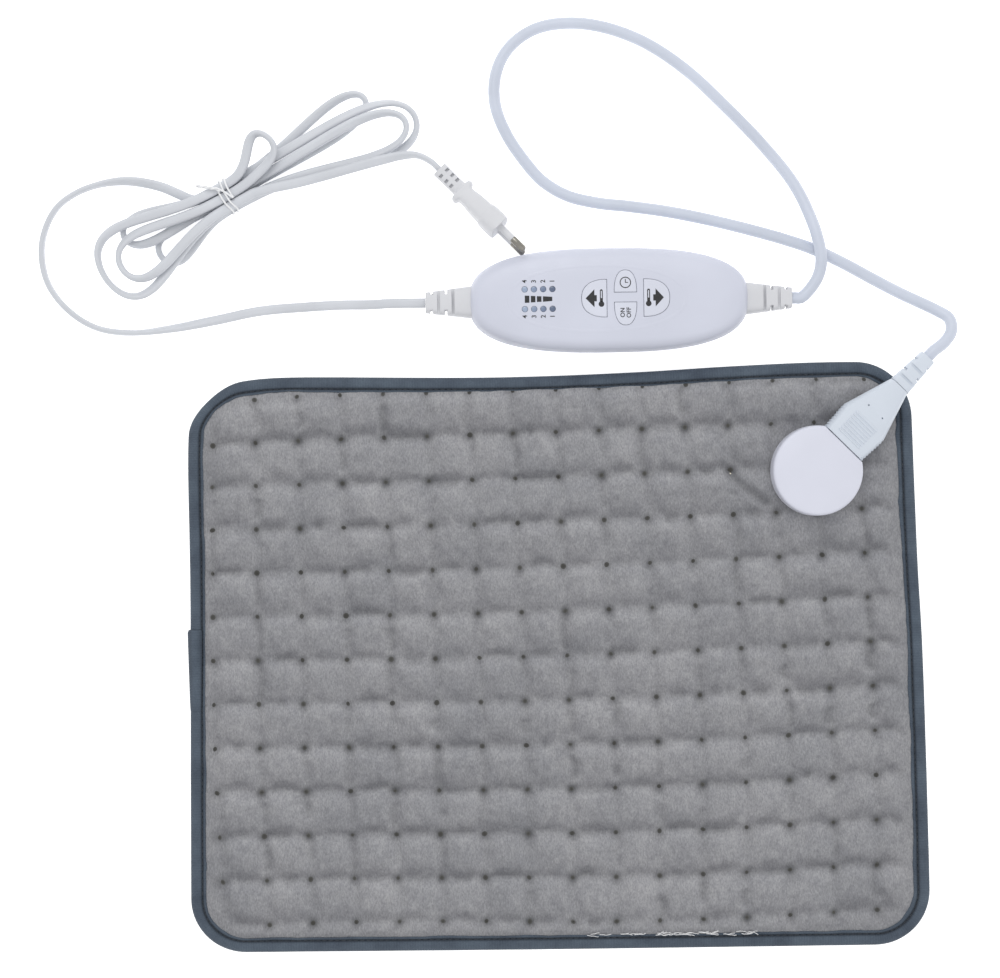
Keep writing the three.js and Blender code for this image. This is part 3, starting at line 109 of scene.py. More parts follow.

# Front panel: how it is blown up between its tufts, then its creases, lumps, painted slope shade, painted
# crease shade and tuft dots with painted shade
PUFF_GROWTH = 10
PUFF_FRAMES = 25
PUFF_SETTINGS = {
    "quality": 6, "mass": 0.15, "tension_stiffness": 30, "compression_stiffness": 30, "shear_stiffness": 12,
    "bending_stiffness": 0.12, "vertex_group_mass": "held", "vertex_group_shrink": "slack",
    "shrink_min": -0.01, "shrink_max": -0.07, "use_pressure": True, "uniform_pressure_force": 0.9,
}
LONG_CREASE = (98, 104, 126, 79, 1.5, 1.3, 2.6)
CREASE_DEPTH = 1.1
CREASE_RARITY = 1.8
CREASE_SHADE = 0.26
ROW_WAVE = 3.2
LUMP_HEIGHT = 0.42
LUMP_START = 7
LUMP_RUN = 8
SLOPE_SHADE_WAY = (0.25, 1, 0)
TUFT_SHADES = (0.45, 0.95)
TUFT_SHADE_RADIUS = 3
TUFT_CAP = ((1.5, -0.6), (1.4, 0.06), (1.05, 0.16), (0.5, 0.2))
TUFT_CAP_SHADE_TONES = (1, 0.95, 0.55, 0.35)
TUFT_SIDES = 14

# Outside of the binding tape in section, as distance in from the pad's edge and height
BINDING_PATH = (
    (8.4, 6.5), (8.3, 7), (7.7, 7.2), (7.1, 7), (6.7, 6.4), (6.3, 7), (5.4, 7.5), (4, 7.75), (2.5, 7.3),
    (1.2, 6.3), (0.3, 5), (0, 3.7), (0.15, 2.2), (0.7, 0.9), (1.7, 0.2), (3, 0), (7.4, 0), (8, 0.1),
)

# How far the soft pad's edges lie outside a true rectangle, as place along the edge and shift
LEFT_EDGE = ((-160, 8.1), (-66, 5.6), (46, 2.6), (115, 1.9), (160, 0.9))
RIGHT_EDGE = ((-160, 3), (-117, 3.6), (6, 3.4), (50, 2.2), (160, 1))
BACK_EDGE = ((-200, 2.7), (-144, 2.1), (-27, -1.4), (48, -0.8), (100, 0.9), (148, 1.7), (200, 0.5))
FRONT_EDGE = ((-200, -3.8), (-3, 0.3), (200, 3.6))
CORNER_PULL_X = 1.6
CORNER_PULL_Y = 6
CORNER_PULL_REACH = 28

# Shift of the tuft columns at the left, middle and right, as place along the column and shift
COLUMN_SHIFTS = (
    ((-150, 0.8), (-55, -3.2), (30, -2.2), (152, 1.6)),
    ((-150, -1.7), (-50, -0.4), (50, -1.3), (152, -3.9)),
    ((-150, -3.4), (-50, -1.7), (40, -4.2), (100, -6.4), (152, -6.8)),
)

# Shift of the tuft rows at the front, middle and back, as place along the row and shift
ROW_SHIFTS = (
    ((-188, 2), (-130, 3), (-60, 2), (20, -1), (90, -1.5), (188, 1)),
    ((-188, 3.1), (-40, 0.5), (60, 0.8), (188, 3.5)),
    ((-188, 0.2), (-90, 2.4), (60, 3.1), (188, 3.4)),
)
TUFT_LIE_START = 7.5
TUFT_LIE_RUN = 5

# Cords
PAD_CORD = 6.5
CORD_WIDTH = 5.4
CORD_THICKNESS = 3.4
CORD_POWER = 2.3
CORD_GROOVE = 0.16
CORD_GROOVE_WIDTH = 0.55
CORD_SIDES = 20
CORD_STEP = 2
FIT = 0.3
PAD_CORD_ROUTE = (
    (218.5, 170, 14.2), (223, 176.5, 12.2), (222.5, 183.5, 9.6), (216, 188.5, 7), (207.5, 193.2, 5),
    (197, 198.7, 3.6), (181, 207.7, 3.3), (164, 217.5, 3.3), (150, 224.5, 3.3), (134, 230.5, 3.3),
    (113, 237, 3.3), (91, 243, 3.3), (69, 248, 3.3), (48, 251.5, 3.3), (30, 254, 3.3), (13.5, 258.5, 3.3),
    (0, 267, 3.3), (-10.5, 279.5, 3.3), (-19.5, 294, 3.3), (-25, 309.5, 3.3), (-25, 324, 3.3),
    (-20.5, 336.5, 3.3), (-12, 346, 3.3), (0.5, 352.5, 3.3), (18, 354.5, 3.3), (37, 351.5, 3.3),
    (59, 342.5, 3.3), (81, 327, 3.3), (101.5, 307, 3.3), (122.5, 284, 3.3), (139, 262, 4.3), (147, 244, 7.6),
    (151, 230, 10.3), (152.5, 217, 10.9), (149.5, 207, 11),
)
MAINS_ROUTE = (
    (-85, 201, 9, 0), (-99, 201, 5, 0), (-113, 201.5, 2.2, 0), (-134, 201, 1.8, 0), (-159.5, 199.5, 1.8, 0),
    (-185, 195, 1.9, 10), (-210, 191, 2.5, 50), (-232.5, 189.5, 2.8, 90), (-251, 193, 2.8, 90),
    (-266.5, 203.5, 2.8, 90), (-277, 218.5, 2.8, 90), (-280, 235.5, 2.8, 90), (-277.5, 248.5, 2.8, 90),
    (-271, 260, 2.8, 90), (-261, 267.5, 2.8, 90), (-247, 272.5, 2.8, 80), (-230.5, 274, 2.4, 40),
    (-213, 270.5, 2.2, 10), (-203.5, 266.3, 2.6, 0), (-195.5, 262.7, 2.9, 0),
)
TAIL_ROUTE = (
    (-150, 266.2, 12.9, 0), (-135.8, 268.6, 13.5, 0), (-122.2, 271.6, 14.1, 0), (-104.9, 275.8, 14.7, 0),
    (-89.5, 279.4, 15.2, 20), (-78, 281.5, 15.9, 50), (-68.5, 281.2, 17.2, 80),
)

# Hank: lobes as reach from the waist, half width, swing from the axis in degrees, height of the fold
WAIST_X = -174.4
WAIST_Y = 263
HANK_ANGLE = 28.3
HANK_COLUMNS = 3
HANK_PASSES = 9
HANK_PITCH_ACROSS = 6
HANK_PITCH_UP = 4.7
HANK_LOWEST = 3.1
WAIST_HALF = 6
LOBE_STEPS = 18
RIGHT_LOBES = ((92.9, 6.8, 4.8, 2.9), (112.5, 11.1, -7.2, 7), (106, 9, -6.1, 11.4), (38.2, 6.2, 24.5, 15))
LEFT_LOBES = ((49.8, 6.6, 8.7, 2.9), (61.7, 6.3, -6.5, 8.3), (81.4, 15.9, 4.6, 11.9), (70.6, 10.2, 2.8, 14))
TIE_WIRE = 1.1
TIE_STEPS = 64
TIE_START = 80
TIE_SWEEP = 740
TIE_POWER = 3.2
TIE_SPREAD = 5.6
TIE_TAIL_STEPS = 14
TIE_TWIST = 0.55

# Socket and connector; their own x axis is the way the connector pulls out
SOCKET_X = 146
SOCKET_Y = 101.5
SOCKET_Z = 8.1
CONNECTOR_ANGLE = 44
SOCKET_RADIUS = 25
SOCKET_FACE = 20.3
SOCKET_PROFILE = ((0.7, 0), (0.1, 0.6), (0, 2), (0.2, 9), (0.3, 11.6), (0.7, 12.6), (1.3, 13.1), (2, 13.4))
SLOT_FLOOR = 7.3
SLOT_HALF_WIDTH = 9.5
SLOT_HALF_HEIGHT = 3.65
CONNECTOR_START = 20.6
CONNECTOR_SHOULDER = 15.5
CONNECTOR_END = 64.6
CONNECTOR_FACE_HALF = 14.1
CONNECTOR_SHOULDER_HALF = 15
CONNECTOR_TAIL_HALF = 6.1
CONNECTOR_BOTTOM = 2.4
CONNECTOR_TOP = 12.4
CONNECTOR_AXIS = 7.4
CONNECTOR_LOWER = ((0.9, 2.4), (0.15, 3), (0, 4), (0, 7.25))
CONNECTOR_UPPER = ((0, 7.55), (0.2, 8.6), (1.2, 10.6), (2.4, 12), (3.2, 12.4))
SERRATIONS = 8
SERRATION_DEPTH = 0.6
CONNECTOR_RELIEF_LENGTH = 22
CONNECTOR_RELIEF_TIP = 9.4
GRIP_RIBS = 8
GRIP_PITCH = 1.9
GRIP_HALF = 7.7
GRIP_START = 24
GRIP_RISE = 0.5
PINHOLES = ((45, 5.2), (45, -5.2))
PINHOLE_RADIUS = 0.5
POCKET_DEPTH = 14.3
POCKET_HALF_WIDTH = 9.4
POCKET_HALF_HEIGHT = 3.55

# Controller; its own x axis is its length
CONTROLLER_X = 34.2
CONTROLLER_Y = 198.9
CONTROLLER_ANGLE = -0.9
CONTROLLER_LENGTH = 154
CONTROLLER_WIDTH = 57.6
CONTROLLER_SPLIT = 11
CONTROLLER_POWER = 2.7
SPLIT_GAP = 0.15
CASE_WALL = 2
CASE_SIDES = 160
LOWER_PROFILE = ((0, 6), (0.4, 4.2), (1.2, 3.0), (4, 1.2), (8, 0.25), (11, 0))
UPPER_PROFILE = ((11, 0), (14, 0.12), (17, 0.5), (21, 1.8), (23.8, 4.6), (25.2, 8.8), (25.85, 13.5), (26, 17))
SCREW_SPOTS = ((-52, -13), (52, -13), (52, 13), (-52, 13))
SCREW_HEAD = 3
SCREW_SEAT = 3.3
BUTTON_POWER = 2.4
BUTTON_GAP = 0.2
BUTTON_RISE = 0.4
BUTTON_FLOOR = 22.5
BUTTON_SECTION = ((1, None), (1, -0.55), (0.985, -0.2), (0.955, -0.03), (0.9, 0), (0.6, 0), (0.2, 0))
OPENING_LEVELS = (20, 30)
BEAD_CENTRE = -6.7
BEAD_HALF_LENGTH = 48.4
BEAD_HALF_WIDTH = 18
BEAD_POWER = 2.2
BEAD_SIDES = 140
BEAD_SECTION = ((-1.3, -0.15), (-1, 0.0), (-0.5, 0.04), (0, 0.06), (0.5, 0.04), (1, 0.0), (1.3, -0.15))
LIGHT_RADIUS = 1.6
LIGHT_PITCH = 5.05
LIGHT_FIRST_X = -46.4
LIGHT_ROW_Y = 5.4
LIGHT_COUNT = 4
LIGHT_GAP = 0.12
LIGHT_BAR_MARGIN = 0.4
LIGHT_BAR_LEVELS = (15, 20)
INK_SPREAD = 0.06
INK_TOP = 0.04
INK_BOTTOM = -0.06
WORD_SIZE = 3.3
NUMBER_SIZE = 3.6
RELIEF_LENGTH = 24
RELIEF_COLLAR = 8
RELIEF_HALVES = (9, 7.65, 5.7)
RELIEF_FLATNESS = 0.9
SLOT_WIDTH = 1.5
SLOT_PITCH = 4
RELIEF_SIDES = 40
RELIEF_ROUND = 0.22
MOULDING_POWER = 4
MOULDING_SHARP = 45

# Bars between the lights as start, end and the half heights there
WEDGE_BARS = ((0, 2.5, 2, 1.9), (3.3, 5.8, 1.8, 1.7), (6.6, 9.1, 1.6, 1.5), (9.9, 15, 1.5, 1.15))

# Buttons, each a D from its straight side to its round side along an axis
BUTTONS = {
    "heat_down": {"axis": "x", "straight": -1.6, "apex": -15.3, "centre": 0, "span": 20.5},
    "heat_up": {"axis": "x", "straight": 18.6, "apex": 32.7, "centre": 0, "span": 20.5},
    "timer": {"axis": "y", "straight": 3.2, "apex": 15.2, "centre": 8.6, "span": 12.2},
    "power": {"axis": "y", "straight": -2.3, "apex": -14.7, "centre": 8.6, "span": 12.2},
}

# Plug, on its narrow edge; its own x axis is the way its pins point
PLUG_X = -56.8
PLUG_Y = 273
PLUG_Z = 17.8
PLUG_ANGLE = -46
PLUG_LENGTH = 46
PLUG_SECTIONS = (
    (0, 4.4, 4.6), (14, 4.3, 5), (15.5, 4.6, 6), (16.3, 6.9, 7.5), (18.7, 7.1, 8), (19.8, 5.3, 8.3),
    (28, 5.6, 11.5), (35, 6, 14.1), (36, 6.45, 14.6), (44.5, 6.5, 17), (46, 6.2, 17.5),
)
PLUG_SIDES = 48
PLUG_SLOTS = (2.8, 6.9, 10.6)
PLUG_SLOT_WIDTH = 1.6
PLUG_SLOT_BAND = (1.25, 3.45)
PLUG_SLOT_LEVELS = (2.6, 12)
PLUG_ROUND = 0.25
PLUG_PIN_PITCH = 19
PLUG_PIN_LENGTH = 19
PLUG_PIN_RADIUS = 2
PLUG_SLEEVE_RADIUS = 1.9
PLUG_SLEEVE_LENGTH = 10

# Floor and light; lamps as name, place in metres, size and power
FLOOR_HALF = 4000
FLOOR_LEVEL = -0.3
WORLD_STRENGTH = 0.88
LAMP_TARGET = (0, 0.1, 0)
LAMPS = (("key", (-0.2, 1.1, 1.35), 0.9, 7.5), ("fill", (0.5, -0.9, 1.4), 1.4, 3.5))


# Numbers and curves
def smooth_line(points, step=1.0):
    """A smooth line through the points, with a row about every step, by a centripetal curve."""
    given = np.array(points, float)
    longer = np.vstack([2 * given[0] - given[1], given, 2 * given[-1] - given[-2]])
    rows = []
    for i in range(len(given) - 1):
        four = longer[i:i + 4]
        p0, p1, p2, p3 = four
        d0, d1, d2 = np.maximum(np.linalg.norm(np.diff(four[:, :3], axis=0), axis=1), 1e-6) ** 0.5
        m1 = ((p1 - p0) / d0 - (p2 - p0) / (d0 + d1) + (p2 - p1) / d1) * d1
        m2 = ((p2 - p1) / d1 - (p3 - p1) / (d1 + d2) + (p3 - p2) / d2) * d1
        count = max(2, math.ceil(np.linalg.norm(p2[:3] - p1[:3]) / step))
        t = np.linspace(0, 1, count, endpoint=False)[:, None]
        square = 3 * (p2 - p1) - 2 * m1 - m2
        cube = 2 * (p1 - p2) + m1 + m2
        rows.append(p1 + m1 * t + square * t ** 2 + cube * t ** 3)
    return np.vstack(rows + [given[-1:]])


def turned(points, degrees):
    """Points turned about z."""
    angle = math.radians(degrees)
    made = np.array(points, float)
    x, y = made[..., 0].copy(), made[..., 1].copy()
    made[..., 0] = x * math.cos(angle) - y * math.sin(angle)
    made[..., 1] = x * math.sin(angle) + y * math.cos(angle)
    return made


def placer(degrees, *origin):
    """A function that sets points in their place, turned about z."""
    return lambda points: turned(points, degrees) + origin


socket_place = placer(CONNECTOR_ANGLE, SOCKET_X, SOCKET_Y, SOCKET_Z)
controller_place = placer(CONTROLLER_ANGLE, CONTROLLER_X, CONTROLLER_Y, 0)
hank_place = placer(HANK_ANGLE, WAIST_X, WAIST_Y, 0)
plug_place = placer(PLUG_ANGLE, PLUG_X, PLUG_Y, PLUG_Z)


def rounded_power(value, power):
    return np.sign(value) * np.abs(value) ** (2 / power)


def super_outline(half_a, half_b, power, count):
    """A rounded outline between an ellipse and a box, as (count, 2) points."""
    angle = np.linspace(0, 2 * math.pi, count, endpoint=False)
    a = half_a * rounded_power(np.cos(angle), power)
    b = half_b * rounded_power(np.sin(angle), power)
    return np.stack([a, b], axis=1)


def at_height(outline, z):
    return np.column_stack([outline, np.full(len(outline), z)])


# Meshes
def make_object(name, points, faces, material, smooth_angle=40):
    mesh = bpy.data.meshes.new(name)
    mesh.from_pydata((np.array(points, float) * MM).tolist(), [], [tuple(map(int, face)) for face in faces])
    mesh.validate()
    obj = bpy.data.objects.new(name, mesh)
    bpy.context.scene.collection.objects.link(obj)
    mesh.materials.append(material)
    shade(obj, smooth_angle)
    return obj


def shade(obj, smooth_angle):
    obj.data.polygons.foreach_set("use_smooth", [True] * len(obj.data.polygons))
    obj.data.set_sharp_from_angle(angle=math.radians(smooth_angle))


def skin_faces(rows, count, loop=False):
    """Faces over rows of rings with the same count of points, closed at both ends or into a loop."""
    faces = []
    for row in range(rows if loop else rows - 1):
        low = row * count
        high = (row + 1) % rows * count
        for side in range(count):
            after = (side + 1) % count
            faces.append((low + side, low + after, high + after, high + side))
    if not loop:
        faces.append(tuple(reversed(range(count))))
        faces.append(tuple(range((rows - 1) * count, rows * count)))
    return faces


def ring_piece(rings):
    return np.vstack(rings), skin_faces(len(rings), len(rings[0]))


def joined(name, pieces, material, place=None, smooth_angle=40):
    """One object from several (points, faces) pieces."""
    points, faces, start = [], [], 0
    for some_points, some_faces in pieces:
        points.append(np.array(some_points, float))
        faces += [tuple(start + index for index in face) for face in some_faces]
        start += len(some_points)
    stacked = np.vstack(points)
    return make_object(name, place(stacked) if place else stacked, faces, material, smooth_angle)


def frames_along(line, rolls=None):
    """Side and up directions along a line, level unless rolled."""
    way = np.gradient(line, axis=0)
    way /= np.linalg.norm(way, axis=1)[:, None]
    side = np.cross((0, 0, 1), way)
    side /= np.maximum(np.linalg.norm(side, axis=1), 1e-9)[:, None]
    up = np.cross(way, side)
    if rolls is None:
        return side, up
    cos, sin = np.cos(rolls)[:, None], np.sin(rolls)[:, None]
    return side * cos + up * sin, up * cos - side * sin


def tube_piece(line, section, rolls=None):
    """A tube with a section, given as (side, up) points, along a line."""
    side, up = frames_along(line, rolls)
    return ring_piece([line[i] + section[:, :1] * side[i] + section[:, 1:] * up[i] for i in range(len(line))])


def round_section(radius, sides):
    return super_outline(radius, radius, 2, sides)


def block_piece(x0, x1, y0, y1, z0, z1):
    corners = np.array(((x0, y0), (x1, y0), (x1, y1), (x0, y1)), float)
    return ring_piece([at_height(corners, z0), at_height(corners, z1)])


def post_piece(x, y, radius, z0, z1, sides=32):
    outline = round_section(radius, sides) + (x, y)
    return ring_piece([at_height(outline, z0), at_height(outline, z1)])


def turned_piece(profile, sides, z):
    """A form turned about an axis along x from (x, radius) points."""
    section = round_section(1, sides)
    rings = [np.column_stack([np.full(sides, x), section * radius + (0, z)]) for x, radius in profile]
    return ring_piece(rings)


def apply_modifiers(obj):
    made = bpy.data.meshes.new_from_object(obj.evaluated_get(bpy.context.evaluated_depsgraph_get()))
    old = obj.data
    obj.modifiers.clear()
    obj.data = made
    bpy.data.meshes.remove(old)


def modify(obj, kind, **settings):
    """Changes an object's mesh by one modifier."""
    modifier = obj.modifiers.new("change", kind)
    for key, value in settings.items():
        setattr(modifier, key, value)
    apply_modifiers(obj)


def carve(obj, pieces, place=None, smooth_angle=40):
    """Cuts (points, faces) pieces out of an object."""
    cutter = joined("cutter", pieces, obj.data.materials[0], place)
    modify(obj, "BOOLEAN", operation="DIFFERENCE", solver="EXACT", use_self=True, object=cutter)
    mesh = cutter.data
    bpy.data.objects.remove(cutter)
    bpy.data.meshes.remove(mesh)
    shade(obj, smooth_angle)


def thicken(obj, thickness, offset):
    modify(obj, "SOLIDIFY", thickness=thickness * MM, offset=offset)
    shade(obj, 180)


def vertex_array(obj):
    flat = np.zeros(len(obj.data.vertices) * 3)
    obj.data.vertices.foreach_get("co", flat)
    return flat.reshape(-1, 3) / MM


def set_vertices(obj, points):
    obj.data.vertices.foreach_set("co", (points * MM).astype(np.float32).ravel())
    obj.data.update()


def set_attribute(obj, name, values):
    layer = obj.data.attributes.new(name, "FLOAT", "POINT")
    layer.data.foreach_set("value", np.array(values, np.float32))


def slotted_moulding(name, rows, sides, slots, rounding, material, place):
    """A moulding from rows of x, half width and half height, slotted, rounded and set in its place."""
    rings = []
    for x, half_width, half_height in rows:
        outline = super_outline(half_width, half_height, MOULDING_POWER, sides)
        rings.append(np.column_stack([np.full(sides, x), outline]))
    made = joined(name, [ring_piece(rings)], material)
    carve(made, slots)
    sharp = math.radians(MOULDING_SHARP)
    modify(made, "BEVEL", width=rounding * MM, segments=2, limit_method="ANGLE", angle_limit=sharp)
    set_vertices(made, place(vertex_array(made)))
    shade(made, MOULDING_SHARP)
    return made


def stand_for(obj, body, slot, *nodes):
    """Fixes a piece to a body, in place of some nodes; the finish named for it is not used."""
    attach(obj, body)
    if nodes:
        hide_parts(*nodes)
    return obj


# Materials
class Shader:
    """Wires the nodes of one material."""

    def __init__(self, name, **sockets):
        self.material = bpy.data.materials.new(name)
        self.material.use_nodes = True
        self.tree = self.material.node_tree
        self.surface = self.tree.nodes["Principled BSDF"]
        for key, value in sockets.items():
            self.surface.inputs[key.replace("_", " ")].default_value = value

    def feed(self, socket, value):
        if isinstance(value, bpy.types.NodeSocket):
            self.tree.links.new(value, socket)
        else:
            socket.default_value = value

    def node(self, kind, **inputs):
        made = self.tree.nodes.new("ShaderNode" + kind)
        for key, value in inputs.items():
            self.feed(made.inputs[key.replace("_", " ")], value)
        return made

    def noise(self, scale, stretch=(1, 1, 1), detail=3.0, roughness=0.5):
        place = self.node("Mapping", Vector=self.node("TexCoord").outputs["Object"], Scale=stretch)
        return self.node("TexNoise", Vector=place.outputs["Vector"], Scale=scale, Detail=detail,
                         Roughness=roughness).outputs["Fac"]

    def ramp(self, factor, *stops):
        made = self.node("ValToRGB", Fac=factor)
        band = made.color_ramp.elements
        while len(band) < len(stops):
            band.new(0.5)
        for element, (at, colour) in zip(band, stops):
            element.position = at
            element.color = (*colour[:3], 1)
        return made.outputs["Color"]

    def range(self, value, low, high, out_low, out_high):
        limits = {"From_Min": low, "From_Max": high, "To_Min": out_low, "To_Max": out_high}
        return self.node("MapRange", Value=value, **limits).outputs["Result"]

    def mixed(self, factor, first, second, blend="MIX"):
        made = self.node("MixRGB", Fac=factor, Color1=first, Color2=second)
        made.blend_type = blend
        return made.outputs["Color"]

    def times(self, first, *others):
        """Colours multiplied together."""
        for other in others:
            first = self.mixed(1.0, first, other, "MULTIPLY")
        return first

    def attribute(self, name):
        made = self.node("Attribute")
        made.attribute_name = name
        return made.outputs["Fac"]

    def bump(self, height, strength, distance, below=None):
        made = self.node("Bump", Height=height, Strength=strength, Distance=distance * MM)
        if below is not None:
            self.feed(made.inputs["Normal"], below)
        return made.outputs["Normal"]

    def grained(self, grain, dark, pale, strength, distance):
        """A finish whose colour and relief follow one grain."""
        base = self.ramp(grain, (0.3, dark), (0.7, pale))
        return self.finish(base, None, self.bump(grain, strength, distance))

    def finish(self, colour=None, roughness=None, normal=None):
        for key, value in (("Base Color", colour), ("Roughness", roughness), ("Normal", normal)):
            if value is not None:
                self.feed(self.surface.inputs[key], value)
        return self.material


def tint(red, green, blue):
    """A colour from its values on a screen, 0 to 255."""
    shares = np.array((red, green, blue)) / 255
    linear = np.where(shares <= 0.04045, shares / 12.92, ((shares + 0.055) / 1.055) ** 2.4)
    return (*linear.tolist(), 1)


def scaled(colour, factor):
    return (*(min(1, channel * factor) for channel in colour[:3]), 1)


def moulded_plastic(name, colour, roughness=0.42, grain=0.2):
    """Moulded plastic with a fine spark finish, faint cloudiness and handling marks."""
    made = Shader(name, IOR=1.46)
    cloud = made.noise(28, detail=2)
    marks = made.noise(160, stretch=(1, 3, 1), detail=4, roughness=0.6)
    base = made.ramp(cloud, (0.3, scaled(colour, 0.965)), (0.7, scaled(colour, 1.02)))
    gloss = made.range(marks, 0.3, 0.75, roughness - 0.06, roughness + 0.1)
    return made.finish(base, gloss, made.bump(made.noise(2600, detail=2), grain, 0.05))


def cord_sheath(name, colour):
    """Soft cord sheath with a faint drawn grain."""
    made = Shader(name, IOR=1.5)
    cloud = made.noise(40)
    base = made.ramp(cloud, (0.3, scaled(colour, 0.95)), (0.72, scaled(colour, 1.04)))
    gloss = made.range(made.noise(300), 0.3, 0.7, 0.36, 0.5)
    return made.finish(base, gloss, made.bump(made.noise(700, detail=2), 0.2, 0.08))


def plush():
    """Short brushed pile, mottled, with painted shade: lighter on slopes that face the back, darker on slopes
    that face the front, and dark in the creases and round the tufts.
    """
    made = Shader("plush", Roughness=0.95, Sheen_Weight=0.25, Sheen_Roughness=0.45, Specular_IOR_Level=0.15,
                  Sheen_Tint=tint(200, 200, 204))
    patches = made.noise(26, stretch=(1, 0.8, 1), detail=4, roughness=0.6)
    brushed = made.noise(210, stretch=(1.25, 0.8, 1), roughness=0.65)
    fibres = made.noise(1000, stretch=(1.4, 0.6, 1), detail=2, roughness=0.7)
    base = made.ramp(patches, (0.3, tint(159, 160, 164)), (0.7, tint(176, 176, 179)))
    streak = made.ramp(brushed, (0.32, (0.82, 0.82, 0.83)), (0.7, (1.0, 1.0, 0.99)))
    hairs = made.ramp(fibres, (0.3, (0.64, 0.64, 0.65)), (0.72, (1.0, 1.0, 1.0)))
    # Painted slope shade: lighter where the surface faces the back, darker where it faces the front.
    slope_shade_stops = (0, (0.58, 0.58, 0.59)), (0.5, (0.84, 0.84, 0.84)), (1, (1.0, 1.0, 1.0))
    slope_shade_colour = made.ramp(made.attribute("painted_slope_shade"), *slope_shade_stops)
    # Painted shade in the creases and round the tufts, mixed towards a dark grey.
    shaded = made.mixed(made.attribute("painted_shade"), made.times(base, streak, hairs, slope_shade_colour), tint(60, 61, 63))
    pile = made.bump(fibres, 0.5, 0.5)
    return made.finish(shaded, None, made.bump(brushed, 0.35, 0.6, pile))


def tuft_weld_shade():
    """Welded tuft points, matt, painted from dark to half dark as the shade in the tuft hollows."""
    made = Shader("tuft_weld_shade", Roughness=0.9, Specular_IOR_Level=0.15)
    base = made.ramp(made.attribute("tone"), (0, tint(50, 49, 46)), (1, tint(102, 102, 101)))
    return made.finish(base, None, made.bump(made.noise(1500, detail=2), 0.4, 0.2))


def binding_tape():
    """Knitted tape with fine ribs across its width and a soft sheen."""
    made = Shader("binding_tape", Roughness=0.82, Sheen_Weight=0.25, Sheen_Roughness=0.4,
                  Specular_IOR_Level=0.2, Sheen_Tint=tint(150, 165, 182))
    along = made.node("CombineXYZ", X=made.attribute("along"))
    ribs = made.node("TexWave", Vector=along.outputs["Vector"], Scale=0.22, Distortion=0.8, Detail=2.0)
    yarn = made.noise(1400, detail=2, roughness=0.7)
    patches = made.noise(60, detail=4, roughness=0.6)
    base = made.ramp(patches, (0.3, tint(72, 81, 93)), (0.72, tint(91, 102, 114)))
    flecks = made.ramp(yarn, (0.3, (0.76, 0.77, 0.78)), (0.72, (1.0, 1.0, 1.0)))
    lines = made.ramp(ribs.outputs["Fac"], (0.15, (0.92, 0.92, 0.93)), (0.6, (1.0, 1.0, 1.0)))
    # Painted shade: the seam's groove and the outer edge are mixed towards a dark slate.
    shaded = made.mixed(made.attribute("painted_shade"), made.times(base, lines, flecks), tint(30, 35, 42))
    ribbed = made.bump(ribs.outputs["Fac"], 0.35, 0.3)
    return made.finish(shaded, None, made.bump(yarn, 0.4, 0.25, ribbed))


def spun_thread(name, colour):
    """Spun thread with a twist."""
    made = Shader(name, Roughness=0.75, Sheen_Weight=0.2)
    twist = made.noise(2200, stretch=(1, 1, 3), detail=2)
    return made.grained(twist, scaled(colour, 0.75), scaled(colour, 1.1), 0.5, 0.1)


def pressed_felt():
    """Pressed felt with loose fibres."""
    made = Shader("pressed_felt", Roughness=0.95, Sheen_Weight=0.3)
    fibres = made.noise(700, detail=5, roughness=0.7)
    return made.grained(fibres, tint(196, 192, 180), tint(226, 222, 212), 0.6, 0.4)


def plated_metal(name, colour, roughness):
    """Plated metal with drawn streaks and a little dulling."""
    made = Shader(name, Metallic=1.0)
    streaks = made.noise(500, stretch=(0.15, 1, 1))
    base = made.ramp(made.noise(90), (0.3, scaled(colour, 0.86)), (0.7, colour))
    gloss = made.range(streaks, 0.25, 0.75, roughness - 0.08, roughness + 0.14)
    return made.finish(base, gloss, made.bump(streaks, 0.15, 0.04))


def light_pipe():
    """Clear light guides, paler at the first lamp and darker at the last."""
    made = Shader("light_pipe", IOR=1.5, Roughness=0.25, Coat_Weight=0.3)
    place = made.node("SeparateXYZ", Vector=made.node("TexCoord").outputs["Object"]).outputs["X"]
    first = (CONTROLLER_X + LIGHT_FIRST_X) * MM
    along = made.range(place, first, first + (LIGHT_COUNT - 1) * LIGHT_PITCH * MM, 0, 1)
    base = made.ramp(along, (0, tint(150, 164, 186)), (0.5, tint(118, 132, 158)), (1, tint(88, 100, 124)))
    cloud = made.ramp(made.noise(900, detail=2), (0.3, (0.9, 0.9, 0.92)), (0.7, (1.0, 1.0, 1.0)))
    return made.finish(made.times(base, cloud))


def printed_ink():
    """Printed marks, a thin slightly worn black."""
    made = Shader("printed_ink", Roughness=0.55)
    worn = made.noise(1300, detail=4, roughness=0.7)
    return made.finish(made.ramp(worn, (0.35, tint(16, 17, 19)), (0.8, tint(46, 47, 50))))


def board_laminate():
    """Green lacquer over glass weave."""
    made = Shader("board_laminate", Roughness=0.35, Coat_Weight=0.4)
    weave = made.noise(1200, stretch=(1, 1, 0.2), detail=2)
    return made.grained(weave, tint(26, 82, 52), tint(40, 108, 70), 0.3, 0.1)


def pale_floor():
    """A plain pale surface, a little bright of its own."""
    made = Shader("pale_floor", Roughness=0.9, Emission_Strength=0.6, Emission_Color=(1, 1, 1, 1),
                  Specular_IOR_Level=0.0)
    return made.finish(made.ramp(made.noise(3, detail=2), (0.3, (0.9, 0.9, 0.9)), (0.7, (0.93, 0.93, 0.93))))


